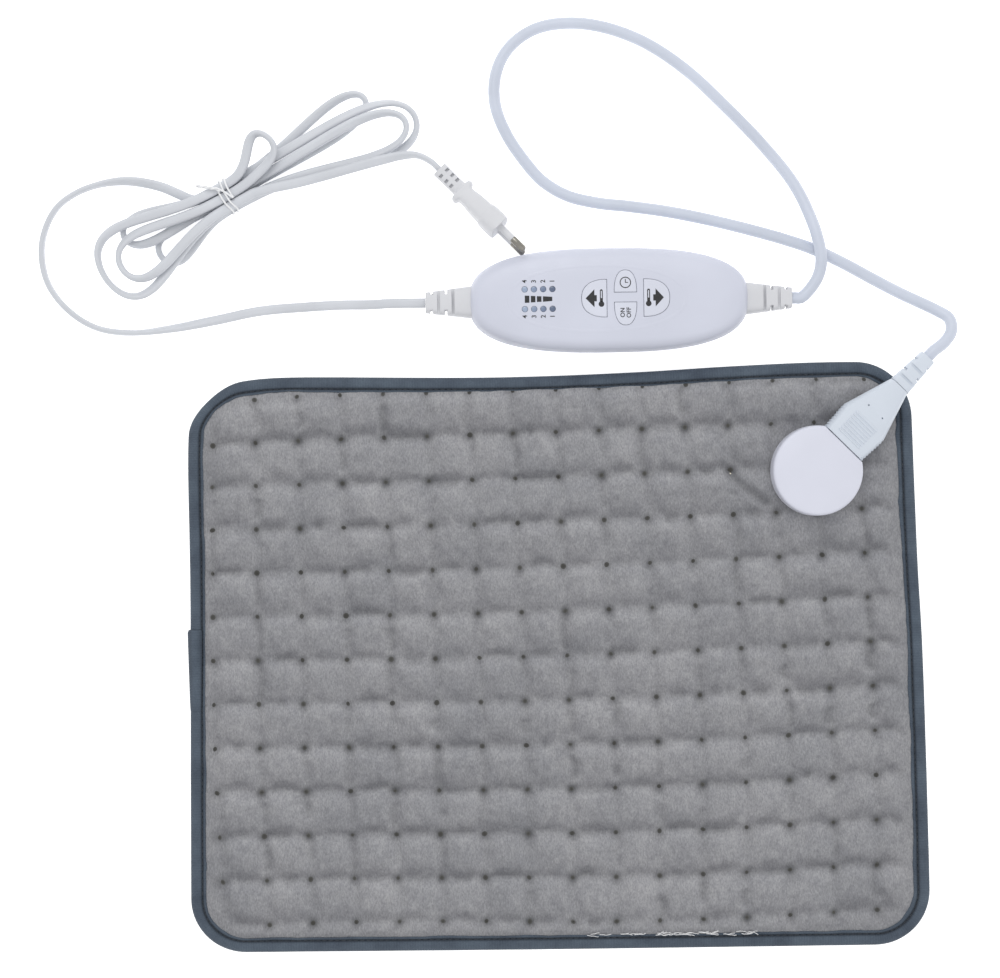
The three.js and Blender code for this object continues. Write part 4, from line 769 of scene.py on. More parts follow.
# Camera
def make_camera():
    data = bpy.data.cameras.new("camera")
    data.sensor_width = SENSOR
    data.lens = SENSOR * CAMERA_HEIGHT / VIEW_WIDTH
    data.clip_start = 0.01
    camera = bpy.data.objects.new("camera", data)
    camera.location = Vector((CAMERA_X, CAMERA_Y, CAMERA_HEIGHT)) * MM
    camera.rotation_euler = (0, 0, math.radians(CAMERA_TURN))
    bpy.context.scene.collection.objects.link(camera)
    bpy.context.scene.camera = camera


# Cords
def straight_ends(place, start, way, level, runs, roll):
    """Points on the straight way out of a piece, with their roll."""
    return [(*place(np.array((start + way * run, 0, level), float)), roll) for run in runs]


def controller_ends(side, runs):
    reach = side * (CONTROLLER_LENGTH / 2 + RELIEF_LENGTH)
    return straight_ends(controller_place, reach, side, CONTROLLER_SPLIT, runs, 0)


def connector_ends(runs):
    reach = CONNECTOR_END + FIT + CONNECTOR_RELIEF_LENGTH
    return straight_ends(socket_place, reach, 1, CONNECTOR_AXIS, runs, 0)


def plug_ends(runs):
    return straight_ends(plug_place, 0, -1, 0, runs, 90)


def hank_slot(turn):
    across = ((HANK_COLUMNS - 1) / 2 - turn % HANK_COLUMNS) * HANK_PITCH_ACROSS
    return across, HANK_LOWEST + turn // HANK_COLUMNS * HANK_PITCH_UP


def hank_ends(turn, runs):
    side = -1 if turn == 0 else 1
    across, height = hank_slot(turn)
    reach = WAIST_HALF + CORD_WIDTH
    return [(*hank_place(np.array((side * (reach + run), across, height), float)), 0) for run in runs]


def lobe_point(turn, t):
    """A point of the loop that joins one pass of the hank to the next, with its roll."""
    side = 1 if turn % 2 == 0 else -1
    reach, half, swing, fold = (RIGHT_LOBES if side > 0 else LEFT_LOBES)[turn // 2]
    across0, height0 = hank_slot(turn)
    across1, height1 = hank_slot(turn + 1)
    rise = math.sin(math.pi * t)
    spread = rise * (2 - rise)
    widest = 2 / (3 * math.sqrt(3))
    bow = math.copysign(half, across0 - across1) * rise ** 2 * math.cos(math.pi * t) / widest
    lean = side * math.radians(swing) * spread
    ease = t * t * (3 - 2 * t)
    run = (reach - WAIST_HALF) * rise
    out = WAIST_HALF + run * math.cos(lean) - bow * math.sin(lean)
    across = across0 + (across1 - across0) * ease + bow * math.cos(lean) + run * math.sin(lean)
    height = height0 + (height1 - height0) * ease + (fold - (height0 + height1) / 2) * spread
    return side * out, across, height, 90 * rise ** 4


def hank_points():
    local = []
    for turn in range(HANK_PASSES):
        side = 1 if turn % 2 == 0 else -1
        local += [(-side * WAIST_HALF, *hank_slot(turn), 0), (side * WAIST_HALF, *hank_slot(turn), 0)]
        if turn + 1 < HANK_PASSES:
            local += [lobe_point(turn, step / LOBE_STEPS) for step in range(1, LOBE_STEPS)]
    return [(*hank_place(np.array(point[:3], float)), point[3]) for point in local]


def twin_section():
    """Flat twin cord: two cores side by side, with a shallow groove between them."""
    outline = super_outline(CORD_WIDTH / 2, CORD_THICKNESS / 2, CORD_POWER, CORD_SIDES)
    groove = CORD_GROOVE * np.exp(-(outline[:, 0] / CORD_GROOVE_WIDTH) ** 2)
    outline[:, 1] -= np.sign(outline[:, 1]) * groove
    return outline


def make_pad_cord(material):
    runs = (FIT, CORD_WIDTH / 2, CORD_WIDTH)
    ends = connector_ends(runs), controller_ends(1, runs[::-1])
    start, finish = ([point[:3] for point in end] for end in ends)
    line = smooth_line([*start, *PAD_CORD_ROUTE, *finish], CORD_STEP)
    sheath = tube_piece(line, round_section(PAD_CORD / 2, CORD_SIDES))
    cord = joined("pad_cord_flex", [sheath], material, None, 60)
    stand_for(cord, "lead", "cord_plastic", "pad_cord")


def make_mains_cord(material):
    runs = (FIT, CORD_WIDTH / 2, CORD_WIDTH)
    short = (FIT, CORD_WIDTH / 4)
    chosen = [*controller_ends(-1, runs), *MAINS_ROUTE, *hank_ends(0, short[::-1]), *hank_points(),
              *hank_ends(HANK_PASSES - 1, short), *TAIL_ROUTE, *plug_ends(runs[::-1])]
    rows = smooth_line(chosen, CORD_STEP)
    line = rows[:, :3]
    sheath = tube_piece(line, twin_section(), np.radians(rows[:, 3]))
    cord = joined("mains_cord_flex", [sheath], material, None, 60)
    stand_for(cord, "lead", "cord_plastic", "mains_cord", "mains_cord_hank", "mains_cord_tail")


def make_tie(material):
    """Thin wire tie: two turns round the waist, with its ends twisted together and bent aside."""
    half_across = HANK_COLUMNS * HANK_PITCH_ACROSS / 2 + 0.6
    low = TIE_WIRE / 2
    high = HANK_LOWEST + 2 * HANK_PITCH_UP + CORD_THICKNESS / 2 + TIE_WIRE
    points = []
    for step in range(TIE_STEPS + 1):
        angle = math.radians(TIE_START + TIE_SWEEP * step / TIE_STEPS)
        along = -TIE_SPREAD / 2 + TIE_SPREAD * step / TIE_STEPS + 0.6 * math.sin(3 * angle)
        across = half_across * rounded_power(math.cos(angle), TIE_POWER)
        up = (high - low) / 2 * rounded_power(math.sin(angle), TIE_POWER)
        points.append((along, across, (high + low) / 2 + up))
    wires = [tube_piece(smooth_line(points, 0.8), round_section(TIE_WIRE / 2, 8))]
    for sign, end in ((-1, points[0]), (1, points[-1])):
        tail = [np.array(end) + (0, 0, TIE_WIRE * 0.5)]
        for step in range(1, TIE_TAIL_STEPS + 1):
            angle = math.pi * (step / 3 + (sign > 0))
            reach = min(1, step / 4)
            along = end[0] * (1 - reach) - 0.9 * step * reach
            across = end[1] * (1 - reach) + (3 + 0.7 * step) * reach + TIE_TWIST * math.cos(angle)
            tail.append((along, across, high + 0.9 + TIE_TWIST * math.sin(angle)))
        wires.append(tube_piece(smooth_line(tail, 0.6), round_section(TIE_WIRE / 2, 8)))
    tie = joined("hank_tie_wire", wires, material, hank_place, 60)
    stand_for(tie, "lead", "tie_plastic", "hank_tie")


# Pad
def edge_shift(edge, at):
    line = smooth_line(edge, 4)
    return np.interp(at, line[:, 0], line[:, 1])


def three_way(share, lines, at):
    """A shift between three lines, at the start, middle and end of a share from 0 to 1."""
    first, middle, last = (edge_shift(line, at) for line in lines)
    near = first * (1 - share) * (1 - 2 * share)
    between = middle * 4 * share * (1 - share)
    far = last * share * (2 * share - 1)
    return near + between + far


def smooth_step(value):
    t = np.clip(value, 0, 1)
    return t * t * (3 - 2 * t)


def soft_lie(x, y):
    """Where a point of the true rectangle lies on the soft pad, by its edges and its tufts."""
    u = np.clip(x / PAD_LENGTH + 0.5, 0, 1)
    v = np.clip(y / PAD_WIDTH + 0.5, 0, 1)
    edge_x = u * edge_shift(RIGHT_EDGE, y) - (1 - u) * edge_shift(LEFT_EDGE, y)
    edge_y = v * edge_shift(BACK_EDGE, x) - (1 - v) * edge_shift(FRONT_EDGE, x)
    to_corner = np.hypot(x + PAD_LENGTH / 2, y - PAD_WIDTH / 2)
    pull = np.exp(-(to_corner / CORNER_PULL_REACH) ** 2)
    inner = smooth_step((edge_distance(x, y) - TUFT_LIE_START) / TUFT_LIE_RUN)
    dx = edge_x + (three_way(u, COLUMN_SHIFTS, y) - edge_x) * inner
    dy = edge_y + (three_way(v, ROW_SHIFTS, x) - edge_y) * inner
    return x + dx + CORNER_PULL_X * pull, y + dy - CORNER_PULL_Y * pull


def corner_distances(x, y):
    return np.abs(x) - (PAD_LENGTH / 2 - PAD_CORNER), np.abs(y) - (PAD_WIDTH / 2 - PAD_CORNER)


def round_corners(x, y):
    """Moves points of a square cornered grid on to the rounded corner, at the same distance from the edge."""
    a, b = corner_distances(x, y)
    longer = np.maximum(np.maximum(a, b), 1e-6)
    angle = math.pi / 4 * np.where(a > b, b / longer, 2 - a / longer)
    rounded_x = np.sign(x) * (PAD_LENGTH / 2 - PAD_CORNER + longer * np.cos(angle))
    rounded_y = np.sign(y) * (PAD_WIDTH / 2 - PAD_CORNER + longer * np.sin(angle))
    inside = (a > 0) & (b > 0)
    return np.where(inside, rounded_x, x), np.where(inside, rounded_y, y)


def edge_distance(x, y):
    """Distance inside the pad's rounded outline."""
    a, b = corner_distances(x, y)
    beyond = np.hypot(np.maximum(a, 0), np.maximum(b, 0)) + np.minimum(np.maximum(a, b), 0)
    return PAD_CORNER - beyond


def panel_lines(edge, first, pitch, count, steps):
    """Grid lines through the tufts and between them, out to the panel's edges, and which hold tufts."""
    step = pitch / steps
    last = first + (count - 1) * pitch
    before = np.linspace(-edge, first, max(2, math.ceil((first + edge) / step)), endpoint=False)
    middle = first + step * np.arange((count - 1) * steps + 1)
    after = np.linspace(last, edge, max(2, math.ceil((edge - last) / step)) + 1)[1:]
    lines = np.concatenate([before, middle, after])
    on_tuft = np.zeros(len(lines), bool)
    on_tuft[len(before):len(before) + len(middle):steps] = True
    return lines, on_tuft


def panel_grid(inset, steps):
    """Points of a panel on the true rectangle, which of them are tufts or edge, and the grid's faces."""
    edge_x, edge_y = PAD_LENGTH / 2 - inset, PAD_WIDTH / 2 - inset
    columns, column_tufts = panel_lines(edge_x, TUFT_FIRST_X, TUFT_PITCH_X, TUFT_COLUMNS, steps)
    rows, row_tufts = panel_lines(edge_y, TUFT_FIRST_Y, TUFT_PITCH_Y, TUFT_ROWS, steps)
    wide, deep = len(columns), len(rows)
    grid_x, grid_y = (part.ravel() for part in np.meshgrid(columns, rows))
    x, y = round_corners(grid_x, grid_y)
    tufts = (row_tufts[:, None] & column_tufts[None, :]).ravel()
    edge = np.ones((deep, wide), bool)
    edge[1:-1, 1:-1] = False
    faces = [(j * wide + i, j * wide + i + 1, (j + 1) * wide + i + 1, (j + 1) * wide + i)
             for j in range(deep - 1) for i in range(wide - 1)]
    return x, y, tufts, edge.ravel(), faces


def tuft_spots():
    return [(TUFT_FIRST_X + column * TUFT_PITCH_X, TUFT_FIRST_Y + row * TUFT_PITCH_Y)
            for row in range(TUFT_ROWS) for column in range(TUFT_COLUMNS)]


def simulate_puff(obj, held, slack):
    """Blows the panel up between its held points, grown for the while so that the solver is steady."""
    grow = Matrix.Scale(PUFF_GROWTH, 4)
    obj.data.transform(grow)
    obj.vertex_groups.new(name="held").add(held.tolist(), 1.0, "REPLACE")
    loose = obj.vertex_groups.new(name="slack")
    for index, share in enumerate(slack):
        loose.add([index], float(share), "REPLACE")
    cloth = obj.modifiers.new("cloth", "CLOTH")
    cloth.collision_settings.use_collision = False
    settings = cloth.settings
    for key, value in PUFF_SETTINGS.items():
        setattr(settings, key, value)
    settings.effector_weights.gravity = 0
    for step in range(1, PUFF_FRAMES + 1):
        bpy.context.scene.frame_set(step)
    apply_modifiers(obj)
    bpy.context.scene.frame_set(1)
    obj.data.transform(grow.inverted())
    obj.vertex_groups.clear()


def panel_start(x, y):
    """Height of the panel before it is blown up."""
    u = (x - TUFT_FIRST_X) / TUFT_PITCH_X
    v = (y - TUFT_FIRST_Y) / TUFT_PITCH_Y
    crown = np.sqrt(np.abs(np.sin(math.pi * u) * np.sin(math.pi * v)))
    full = TUFT_LEVEL + 0.4 * (CROWN_LEVEL - TUFT_LEVEL) * crown
    rim = np.clip((edge_distance(x, y) - PANEL_INSET) / EDGE_RISE, 0, 1)
    return EDGE_LEVEL + (full - EDGE_LEVEL) * np.sin(rim * math.pi / 2)


def crease_lines(dice):
    """Creases between neighbouring tufts, as start, end, bend, depth and width, some long and some short."""
    lines = [LONG_CREASE]
    for x, y in tuft_spots():
        for step_x, step_y in ((TUFT_PITCH_X, 0), (0, TUFT_PITCH_Y)):
            depth = CREASE_DEPTH * dice.random() ** CREASE_RARITY
            start, end = dice.uniform(-0.05, 0.4), dice.uniform(0.45, 1.05)
            bend, width = dice.uniform(-2.4, 2.4), dice.uniform(1.9, 3.2)
            lines.append((x + step_x * start, y + step_y * start, x + step_x * end, y + step_y * end,
                          bend, depth, width))
    return lines


def press_creases(flat, lines):
    """How deep the creases press each point of the panel, and how much painted shade they put on it."""
    press, dark = np.zeros(len(flat)), np.zeros(len(flat))
    for x0, y0, x1, y1, bend, depth, width in lines:
        run = np.array((x1 - x0, y1 - y0))
        length = np.linalg.norm(run)
        local = flat[:, :2] - (x0, y0)
        near = np.nonzero((np.abs(local - run / 2) < length / 2 + 6).all(axis=1))[0]
        along = local[near] @ run / length ** 2
        across = (local[near, 0] * run[1] - local[near, 1] * run[0]) / length
        across -= bend * np.sin(math.pi * np.clip(along, 0, 1))
        fade = depth * np.clip(np.minimum(along, 1 - along) * 5 + 0.3, 0, 1)
        press[near] += fade * np.exp(-(across / width) ** 2)
        # Painted shade along the crease, narrower than its press.
        dark[near] = np.maximum(dark[near], CREASE_SHADE * fade * np.exp(-(across / (0.8 * width)) ** 2))
    return press, dark


def soft_cap(height, cap):
    """Heights eased under a cap."""
    sharpness = 4
    return cap - np.logaddexp(0, (cap - height) * sharpness) / sharpness


def row_share(along, across, first, pitch, other_first, other_pitch, share, width):
    """How far the cloth is drawn down to the tufts along their rows, from 0 to 1, a little unevenly."""
    row = np.rint((across - first) / pitch)
    between = np.abs(np.sin(math.pi * (along - other_first) / other_pitch))
    aside = np.array([noise.noise((a / 13, r * 5.3, 1.7)) for a, r in zip(along, row)])
    force = np.array([noise.noise((a / 45, r * 3.1, 5.5)) for a, r in zip(along, row)])
    offset = across - (first + row * pitch) - ROW_WAVE * aside * between
    return share * np.clip(0.7 + 1.2 * force, 0.08, 1.25) * np.exp(-(offset / width) ** 2)


def quilt_height(flat, height):
    """Heights of the panel with its rows and columns drawn down towards the tufts."""
    x, y = flat[:, 0], flat[:, 1]
    grid_x, grid_y = (TUFT_FIRST_X, TUFT_PITCH_X), (TUFT_FIRST_Y, TUFT_PITCH_Y)
    rows = row_share(x, y, *grid_y, *grid_x, ROW_SHARE, ROW_WIDTH)
    columns = row_share(y, x, *grid_x, *grid_y, COLUMN_SHARE, COLUMN_WIDTH)
    above = np.maximum(height - TUFT_LEVEL, 0)
    return height - above * (1 - (1 - np.minimum(rows, 1)) * (1 - np.minimum(columns, 1)))


def tuft_shade(flat):
    """Painted shade round each tuft, stronger at some."""
    dice = random.Random(29)
    dark = np.zeros(len(flat))
    for spot_x, spot_y in tuft_spots():
        strength = dice.uniform(*TUFT_SHADES)
        away = np.hypot(flat[:, 0] - spot_x, flat[:, 1] - spot_y)
        dark = np.maximum(dark, strength * np.exp(-(away / TUFT_SHADE_RADIUS) ** 2))
    return dark


def lump(x, y):
    """Unevenness of the filling, in broad and small lumps."""
    return noise.noise((x / 9, y / 11, 0.7)) + 0.5 * noise.noise((x / 4, y / 5, 4.2))


def finish_front(panel):
    """Quilts, lumps and creases the panel, and keeps it under the binding, the connector and the socket."""
    points = vertex_array(panel)
    flat = np.zeros(len(points) * 3)
    panel.data.attributes["flat"].data.foreach_get("vector", flat)
    flat = flat.reshape(-1, 3)
    lumps = np.array([lump(x, y) for x, y, _ in flat])
    distance = edge_distance(flat[:, 0], flat[:, 1])
    inside = np.clip((distance - LUMP_START) / LUMP_RUN, 0, 1)
    press, dark = press_creases(flat, crease_lines(random.Random(11)))
    quilted = quilt_height(flat, soft_cap(points[:, 2], CROWN_LEVEL + CROWN_SPARE))
    height = quilted + (LUMP_HEIGHT * lumps - press) * inside
    height = soft_cap(height, LIP_UNDER + LIP_RISE * np.maximum(distance - LIP_END, 0))
    local = turned(points - (SOCKET_X, SOCKET_Y, 0), -CONNECTOR_ANGLE)
    connector = (local[:, 0] > 0) & (np.abs(local[:, 1]) < CONNECTOR_SHOULDER_HALF + 2)
    height[connector] = np.minimum(height[connector], SOCKET_Z + CONNECTOR_BOTTOM - 0.4)
    seat = np.hypot(local[:, 0], local[:, 1]) < SEAT_RADIUS - 1
    height[seat] = np.minimum(height[seat], SEAT_LEVEL + 0.2)
    points[:, 2] = height
    set_vertices(panel, points)
    # Painted shade in the creases and round the tufts, faded out towards the edge.
    set_attribute(panel, "painted_shade", np.maximum(dark, tuft_shade(flat)) * inside)
    normals = np.zeros(len(points) * 3)
    panel.data.vertex_normals.foreach_get("vector", normals)
    # Painted shade by slope: surfaces facing the back are painted lighter, those facing the front darker, and
    # neutral near the edge.
    painted_slope_shade = np.clip(0.5 + SLOPE_SHADE_PULL * normals.reshape(-1, 3) @ SLOPE_SHADE_WAY, 0, 1)
    set_attribute(panel, "painted_slope_shade", painted_slope_shade * inside + 0.5 * (1 - inside))


def make_front(material):
    """Tufted front panel, puffed by a cloth simulation and then creased."""
    x, y, tufts, edge, faces = panel_grid(PANEL_INSET, PANEL_STEPS)
    lie_x, lie_y = soft_lie(x, y)
    seat = np.hypot(lie_x - SOCKET_X, lie_y - SOCKET_Y) < SEAT_RADIUS
    z = np.where(seat, SEAT_LEVEL, panel_start(x, y))
    panel = make_object("front_panel", np.column_stack([lie_x, lie_y, z]), faces, material, 180)
    layer = panel.data.attributes.new("flat", "FLOAT_VECTOR", "POINT")
    layer.data.foreach_set("vector", np.column_stack([x, y, z]).astype(np.float32).ravel())
    slack = [0.5 + 0.5 * noise.noise((a / 17, b / 17, 3.1)) for a, b in zip(x, y)]
    simulate_puff(panel, np.nonzero(tufts | edge | seat)[0], slack)
    modify(panel, "SUBSURF", levels=1, render_levels=1)
    finish_front(panel)
    thicken(panel, SKIN, -1)
    stand_for(panel, "pad", "plush", "front_cover")
    return panel


def make_tufts(panel, material):
    """Welded dots sunk in the panel's tufts, each a low uneven cap with painted shade, darkest in the middle
    and darker at some than others.
    """
    surface = BVHTree.FromPolygons([tuple(point) for point in vertex_array(panel)],
                                   [tuple(face.vertices) for face in panel.data.polygons])
    dice = random.Random(5)
    pieces, tones = [], []
    for spot_x, spot_y in tuft_spots():
        if edge_distance(spot_x, spot_y) < BINDING_REACH - 1.5:
            continue
        x, y = soft_lie(np.array(spot_x), np.array(spot_y))
        if math.hypot(x - SOCKET_X, y - SOCKET_Y) < SOCKET_RADIUS + 1:
            continue
        size, slim, tone = dice.uniform(0.85, 1.15), dice.uniform(0.75, 1), dice.random()
        rings = []
        for radius, lift in TUFT_CAP:
            oval = round_section(radius * size, TUFT_SIDES) * (1, slim)
            outline = turned(oval, dice.uniform(0, 180)) + (x, y)
            heights = [surface.ray_cast((*point, 50), (0, 0, -1))[0][2] + lift for point in outline]
            rings.append(np.column_stack([outline, heights]))
        # Painted shade of the hollow: inner rings darker than outer ones, more at some dots than others.
        for share in TUFT_CAP_SHADE_TONES:
            tones += [share * (0.5 + 0.5 * tone)] * TUFT_SIDES
        pieces.append(ring_piece(rings))
    tufts = joined("tuft_weld_shades", pieces, material, None, 60)
    set_attribute(tufts, "tone", tones)
    stand_for(tufts, "pad", "plush")


def make_back(material):
    """Plush back panel, flat where it rests, drawn up at the tufts and under the binding."""
    x, y, _, _, faces = panel_grid(PANEL_INSET, 4)
    rise = np.clip((BINDING_REACH + 3.5 - edge_distance(x, y)) / 3, 0, 1)
    z = 0.05 + 1.05 * rise * rise * (3 - 2 * rise)
    for spot_x, spot_y in tuft_spots():
        z += 0.5 * np.exp(-((x - spot_x) ** 2 + (y - spot_y) ** 2) / 16) * (1 - rise)
    panel = make_object("back_panel", np.column_stack([*soft_lie(x, y), z]), faces, material, 180)
    # The back has no painted shade: none in creases, and even on its slopes.
    set_attribute(panel, "painted_shade", np.zeros(len(x)))
    set_attribute(panel, "painted_slope_shade", np.full(len(x), 0.5))
    thicken(panel, BACK_SKIN, 1)
    stand_for(panel, "pad", "plush", "back_cover")
    return panel


def make_felt(material):
    """Felt sheet that carries the heating wire."""
    x, y, _, _, faces = panel_grid(FELT_INSET, 2)
    z = [FELT_LEVEL + 0.06 * noise.noise((a / 20, b / 20, 9)) for a, b in zip(x, y)]
    sheet = make_object("felt_sheet", np.column_stack([x, y, z]), faces, material, 180)
    thicken(sheet, FELT_THICKNESS, 1)
    stand_for(sheet, "pad", "felt", "carrier_felt")


def pad_outline(step):
    """Points round the true outline with their inward directions, and the length up to each."""
    half_x, half_y = PAD_LENGTH / 2 - PAD_CORNER, PAD_WIDTH / 2 - PAD_CORNER
    points, inward = [], []
    corners = ((-half_x, -half_y, 180), (half_x, -half_y, 270), (half_x, half_y, 0), (-half_x, half_y, 90))
    arc_steps = round(PAD_CORNER * math.pi / 2 / step)
    for index, (cx, cy, first) in enumerate(corners):
        for k in range(arc_steps):
            angle = math.radians(first + 90 * k / arc_steps)
            inward.append((-math.cos(angle), -math.sin(angle)))
            points.append((cx - PAD_CORNER * inward[-1][0], cy - PAD_CORNER * inward[-1][1]))
        angle = math.radians(first + 90)
        way = np.array((-math.cos(angle), -math.sin(angle)))
        after = corners[(index + 1) % 4]
        start = np.array((cx, cy)) - PAD_CORNER * way
        end = np.array(after[:2]) - PAD_CORNER * way
        straight = round(np.linalg.norm(end - start) / step)
        for k in range(straight):
            inward.append(tuple(way))
            points.append(tuple(start + (end - start) * k / straight))
    points, inward = np.array(points), np.array(inward)
    along = np.concatenate([[0], np.cumsum(np.linalg.norm(np.diff(points, axis=0), axis=1))])
    return points, inward, along


def offset_path(path, amount):
    """A section path moved square to itself, away from the pad's inside."""
    way = np.gradient(path, axis=0)
    way /= np.linalg.norm(way, axis=1)[:, None]
    return path + amount * np.column_stack([way[:, 1], -way[:, 0]])


def swept_edge(points, inward, section):
    """Rings of a section, as (distance in, height) for each outline point, laid on the soft pad's edge."""
    rings = []
    for point, way, outline in zip(points, inward, section):
        x, y = soft_lie(point[0] + way[0] * outline[:, 0], point[1] + way[1] * outline[:, 0])
        rings.append(np.column_stack([x, y, outline[:, 1]]))
    return rings


def wavy_sections(path, points):
    """The binding's section at each point of the outline, a little uneven as sewn tape is."""
    sections = []
    for point in points:
        wave = noise.noise((point[0] / 16, point[1] / 16, 2.5))
        fine = noise.noise((point[0] / 5, point[1] / 5, 7.5))
        made = path.copy()
        lip = np.clip((made[:, 0] - 6) / 2, 0, 1) * (made[:, 1] > 3)
        made[:, 0] += lip * (0.5 * wave + 0.25 * fine)
        made[:, 1] += (made[:, 1] > 3) * (0.22 * wave + 0.08 * fine)
        sections.append(made)
    return sections


def binding_shade(section):
    """Painted shade round the tape's section: strong in the seam's groove, a little at the outer edge."""
    groove = 0.85 * np.exp(-((section[:, 0] - GROOVE) / 0.8) ** 2) * (section[:, 1] > 5)
    return np.maximum(groove, 0.4 * np.clip(1 - section[:, 0] / 1.6, 0, 1))


def make_binding(material):
    """Tape folded over the edge and sewn, with a groove at its seam."""
    path = np.array(BINDING_PATH, float)
    closed = np.vstack([path, offset_path(path, -BINDING_THICKNESS)[::-1]])
    points, inward, along = pad_outline(BINDING_STEP)
    rings = swept_edge(points, inward, wavy_sections(closed, points))
    faces = skin_faces(len(rings), len(closed), loop=True)
    binding = make_object("binding_roll", np.vstack(rings), faces, material, 60)
    # Painted shade round the section, the same all along the roll.
    set_attribute(binding, "painted_shade", np.tile(binding_shade(closed), len(rings)))
    set_attribute(binding, "along", np.repeat(along, len(closed)))
    stand_for(binding, "pad", "binding_tape", "edge_binding")


def make_lap(material):
    """Overlapped end of the tape on the left edge, square at its end and thinning out along the roll."""
    path = np.array(BINDING_PATH, float)[LAP_FIRST:-1]
    steps = np.arange(0, LAP_LENGTH + 1, 1.5)
    sections = []
    for run in steps:
        fold = min(1, 0.6 + run / 2) * (1 - run / LAP_LENGTH) ** 0.8
        outer = offset_path(path, 0.1 + LAP_GROWTH * fold)
        outer[:, 1] = np.maximum(outer[:, 1], 0.02)
        inner = offset_path(path, 0.05)
        inner[:, 1] = np.maximum(inner[:, 1], 0.01)
        sections.append(np.vstack([outer, inner[::-1]]))
    points = np.column_stack([np.full(len(steps), -PAD_LENGTH / 2), LAP_TOP - steps])
    rings = swept_edge(points, np.tile((1.0, 0.0), (len(steps), 1)), sections)
    lap = joined("binding_end", [ring_piece(rings)], material, None, 60)
    count = len(sections[0])
    set_attribute(lap, "along", np.repeat(steps, count))
    # Painted shade round each section of the lap.
    set_attribute(lap, "painted_shade", np.concatenate([binding_shade(section) for section in sections]))
    stand_for(lap, "pad", "binding_tape", "binding_lap")


def make_stitches(material):
    """Row of stitches in the binding's groove."""
    points, inward, along = pad_outline(0.5)
    heights = np.array(STITCH_ARCH) + STITCH_LEVEL
    pieces = []
    for start in np.arange(0, along[-1] - STITCH_LENGTH, STITCH_PITCH):
        at = np.interp(np.linspace(start, start + STITCH_LENGTH, len(heights)), along, np.arange(len(along)))
        index = at.astype(int)
        x, y = soft_lie(*(points[index] + GROOVE * inward[index]).T)
        pieces.append(tube_piece(np.column_stack([x, y, heights]), round_section(STITCH_RADIUS, 6)))
    stitches = joined("binding_stitches", pieces, material, None, 60)
    stand_for(stitches, "pad", "binding_tape")


def make_loose_threads(material):
    """Frayed white threads along the front binding's inner edge."""
    dice = random.Random(23)
    pieces = []
    for _ in range(THREAD_COUNT):
        x = dice.uniform(THREAD_FROM, THREAD_TO)
        y = -PAD_WIDTH / 2 + BINDING_REACH + dice.uniform(-0.6, 0.8)
        angle = dice.uniform(-0.2, 0.2)
        points = []
        for step in range(THREAD_STEPS):
            points.append((x, y, THREAD_LEVEL + 0.5 * math.sin(step * 0.9) + dice.uniform(-0.1, 0.2)))
            angle = 0.7 * angle + dice.uniform(-0.5, 0.5)
            x += 1.1 * math.cos(angle)
            y += 0.6 * math.sin(angle)
        line = smooth_line(points, 0.5)
        line[:, 0], line[:, 1] = soft_lie(line[:, 0], line[:, 1])
        pieces.append(tube_piece(line, round_section(THREAD_RADIUS, 5)))
    threads = joined("loose_threads", pieces, material, None, 60)
    stand_for(threads, "pad", "binding_tape")


# Socket and connector
def socket_outline(inset):
    """The socket's round outline with its flat face, drawn in by an inset."""
    radius, face = SOCKET_RADIUS - inset, SOCKET_FACE - inset * 0.4
    half_angle = math.acos(face / radius)
    arc = np.linspace(half_angle, 2 * math.pi - half_angle, 130)
    round_side = np.column_stack([radius * np.cos(arc), radius * np.sin(arc)])
    across = np.linspace(round_side[-1, 1], round_side[0, 1], 18)[1:-1]
    return np.vstack([round_side, np.column_stack([np.full(len(across), face), across])])


def make_socket(material):
    """Round white socket with a soft edge, and the slot that takes the connector's nose."""
    profile = np.vstack([SOCKET_PROFILE[:3], smooth_line(SOCKET_PROFILE[3:], 0.4)])
    rings = [at_height(socket_outline(inset), z) for inset, z in profile]
    socket = joined("socket_case", [ring_piece(rings)], material, socket_place, 35)
    slot = block_piece(SLOT_FLOOR, SOCKET_RADIUS + 1, -SLOT_HALF_WIDTH, SLOT_HALF_WIDTH,
                       CONNECTOR_AXIS - SLOT_HALF_HEIGHT, CONNECTOR_AXIS + SLOT_HALF_HEIGHT)
    carve(socket, [slot], socket_place, 35)
    stand_for(socket, "pad", "white_plastic", "socket_housing")


def connector_outline(inset):
    """The connector's fan outline, drawn in at its sides, with grip serrations by its wide end."""
    ridge = CONNECTOR_SHOULDER / SERRATIONS / 4
    grip = CONNECTOR_START + ridge * np.arange(SERRATIONS * 4 + 1)
    taper = np.linspace(grip[-1], CONNECTOR_END, 26)[1:]
    x = np.concatenate([grip, taper])
    half = np.interp(x, (CONNECTOR_START, grip[-1], CONNECTOR_END),
                     (CONNECTOR_FACE_HALF, CONNECTOR_SHOULDER_HALF, CONNECTOR_TAIL_HALF))
    fade = max(0, 1 - inset / 1.6)
    notch = np.abs((np.arange(len(grip)) % 4) - 2) / 2
    half[:len(grip)] -= SERRATION_DEPTH * fade * notch
    half -= inset * np.interp(x, (CONNECTOR_START, CONNECTOR_END), (1, 0.6))
    upper = np.column_stack([x, half])
    lower = np.column_stack([x, -half])
    return np.vstack([lower, upper[::-1]])


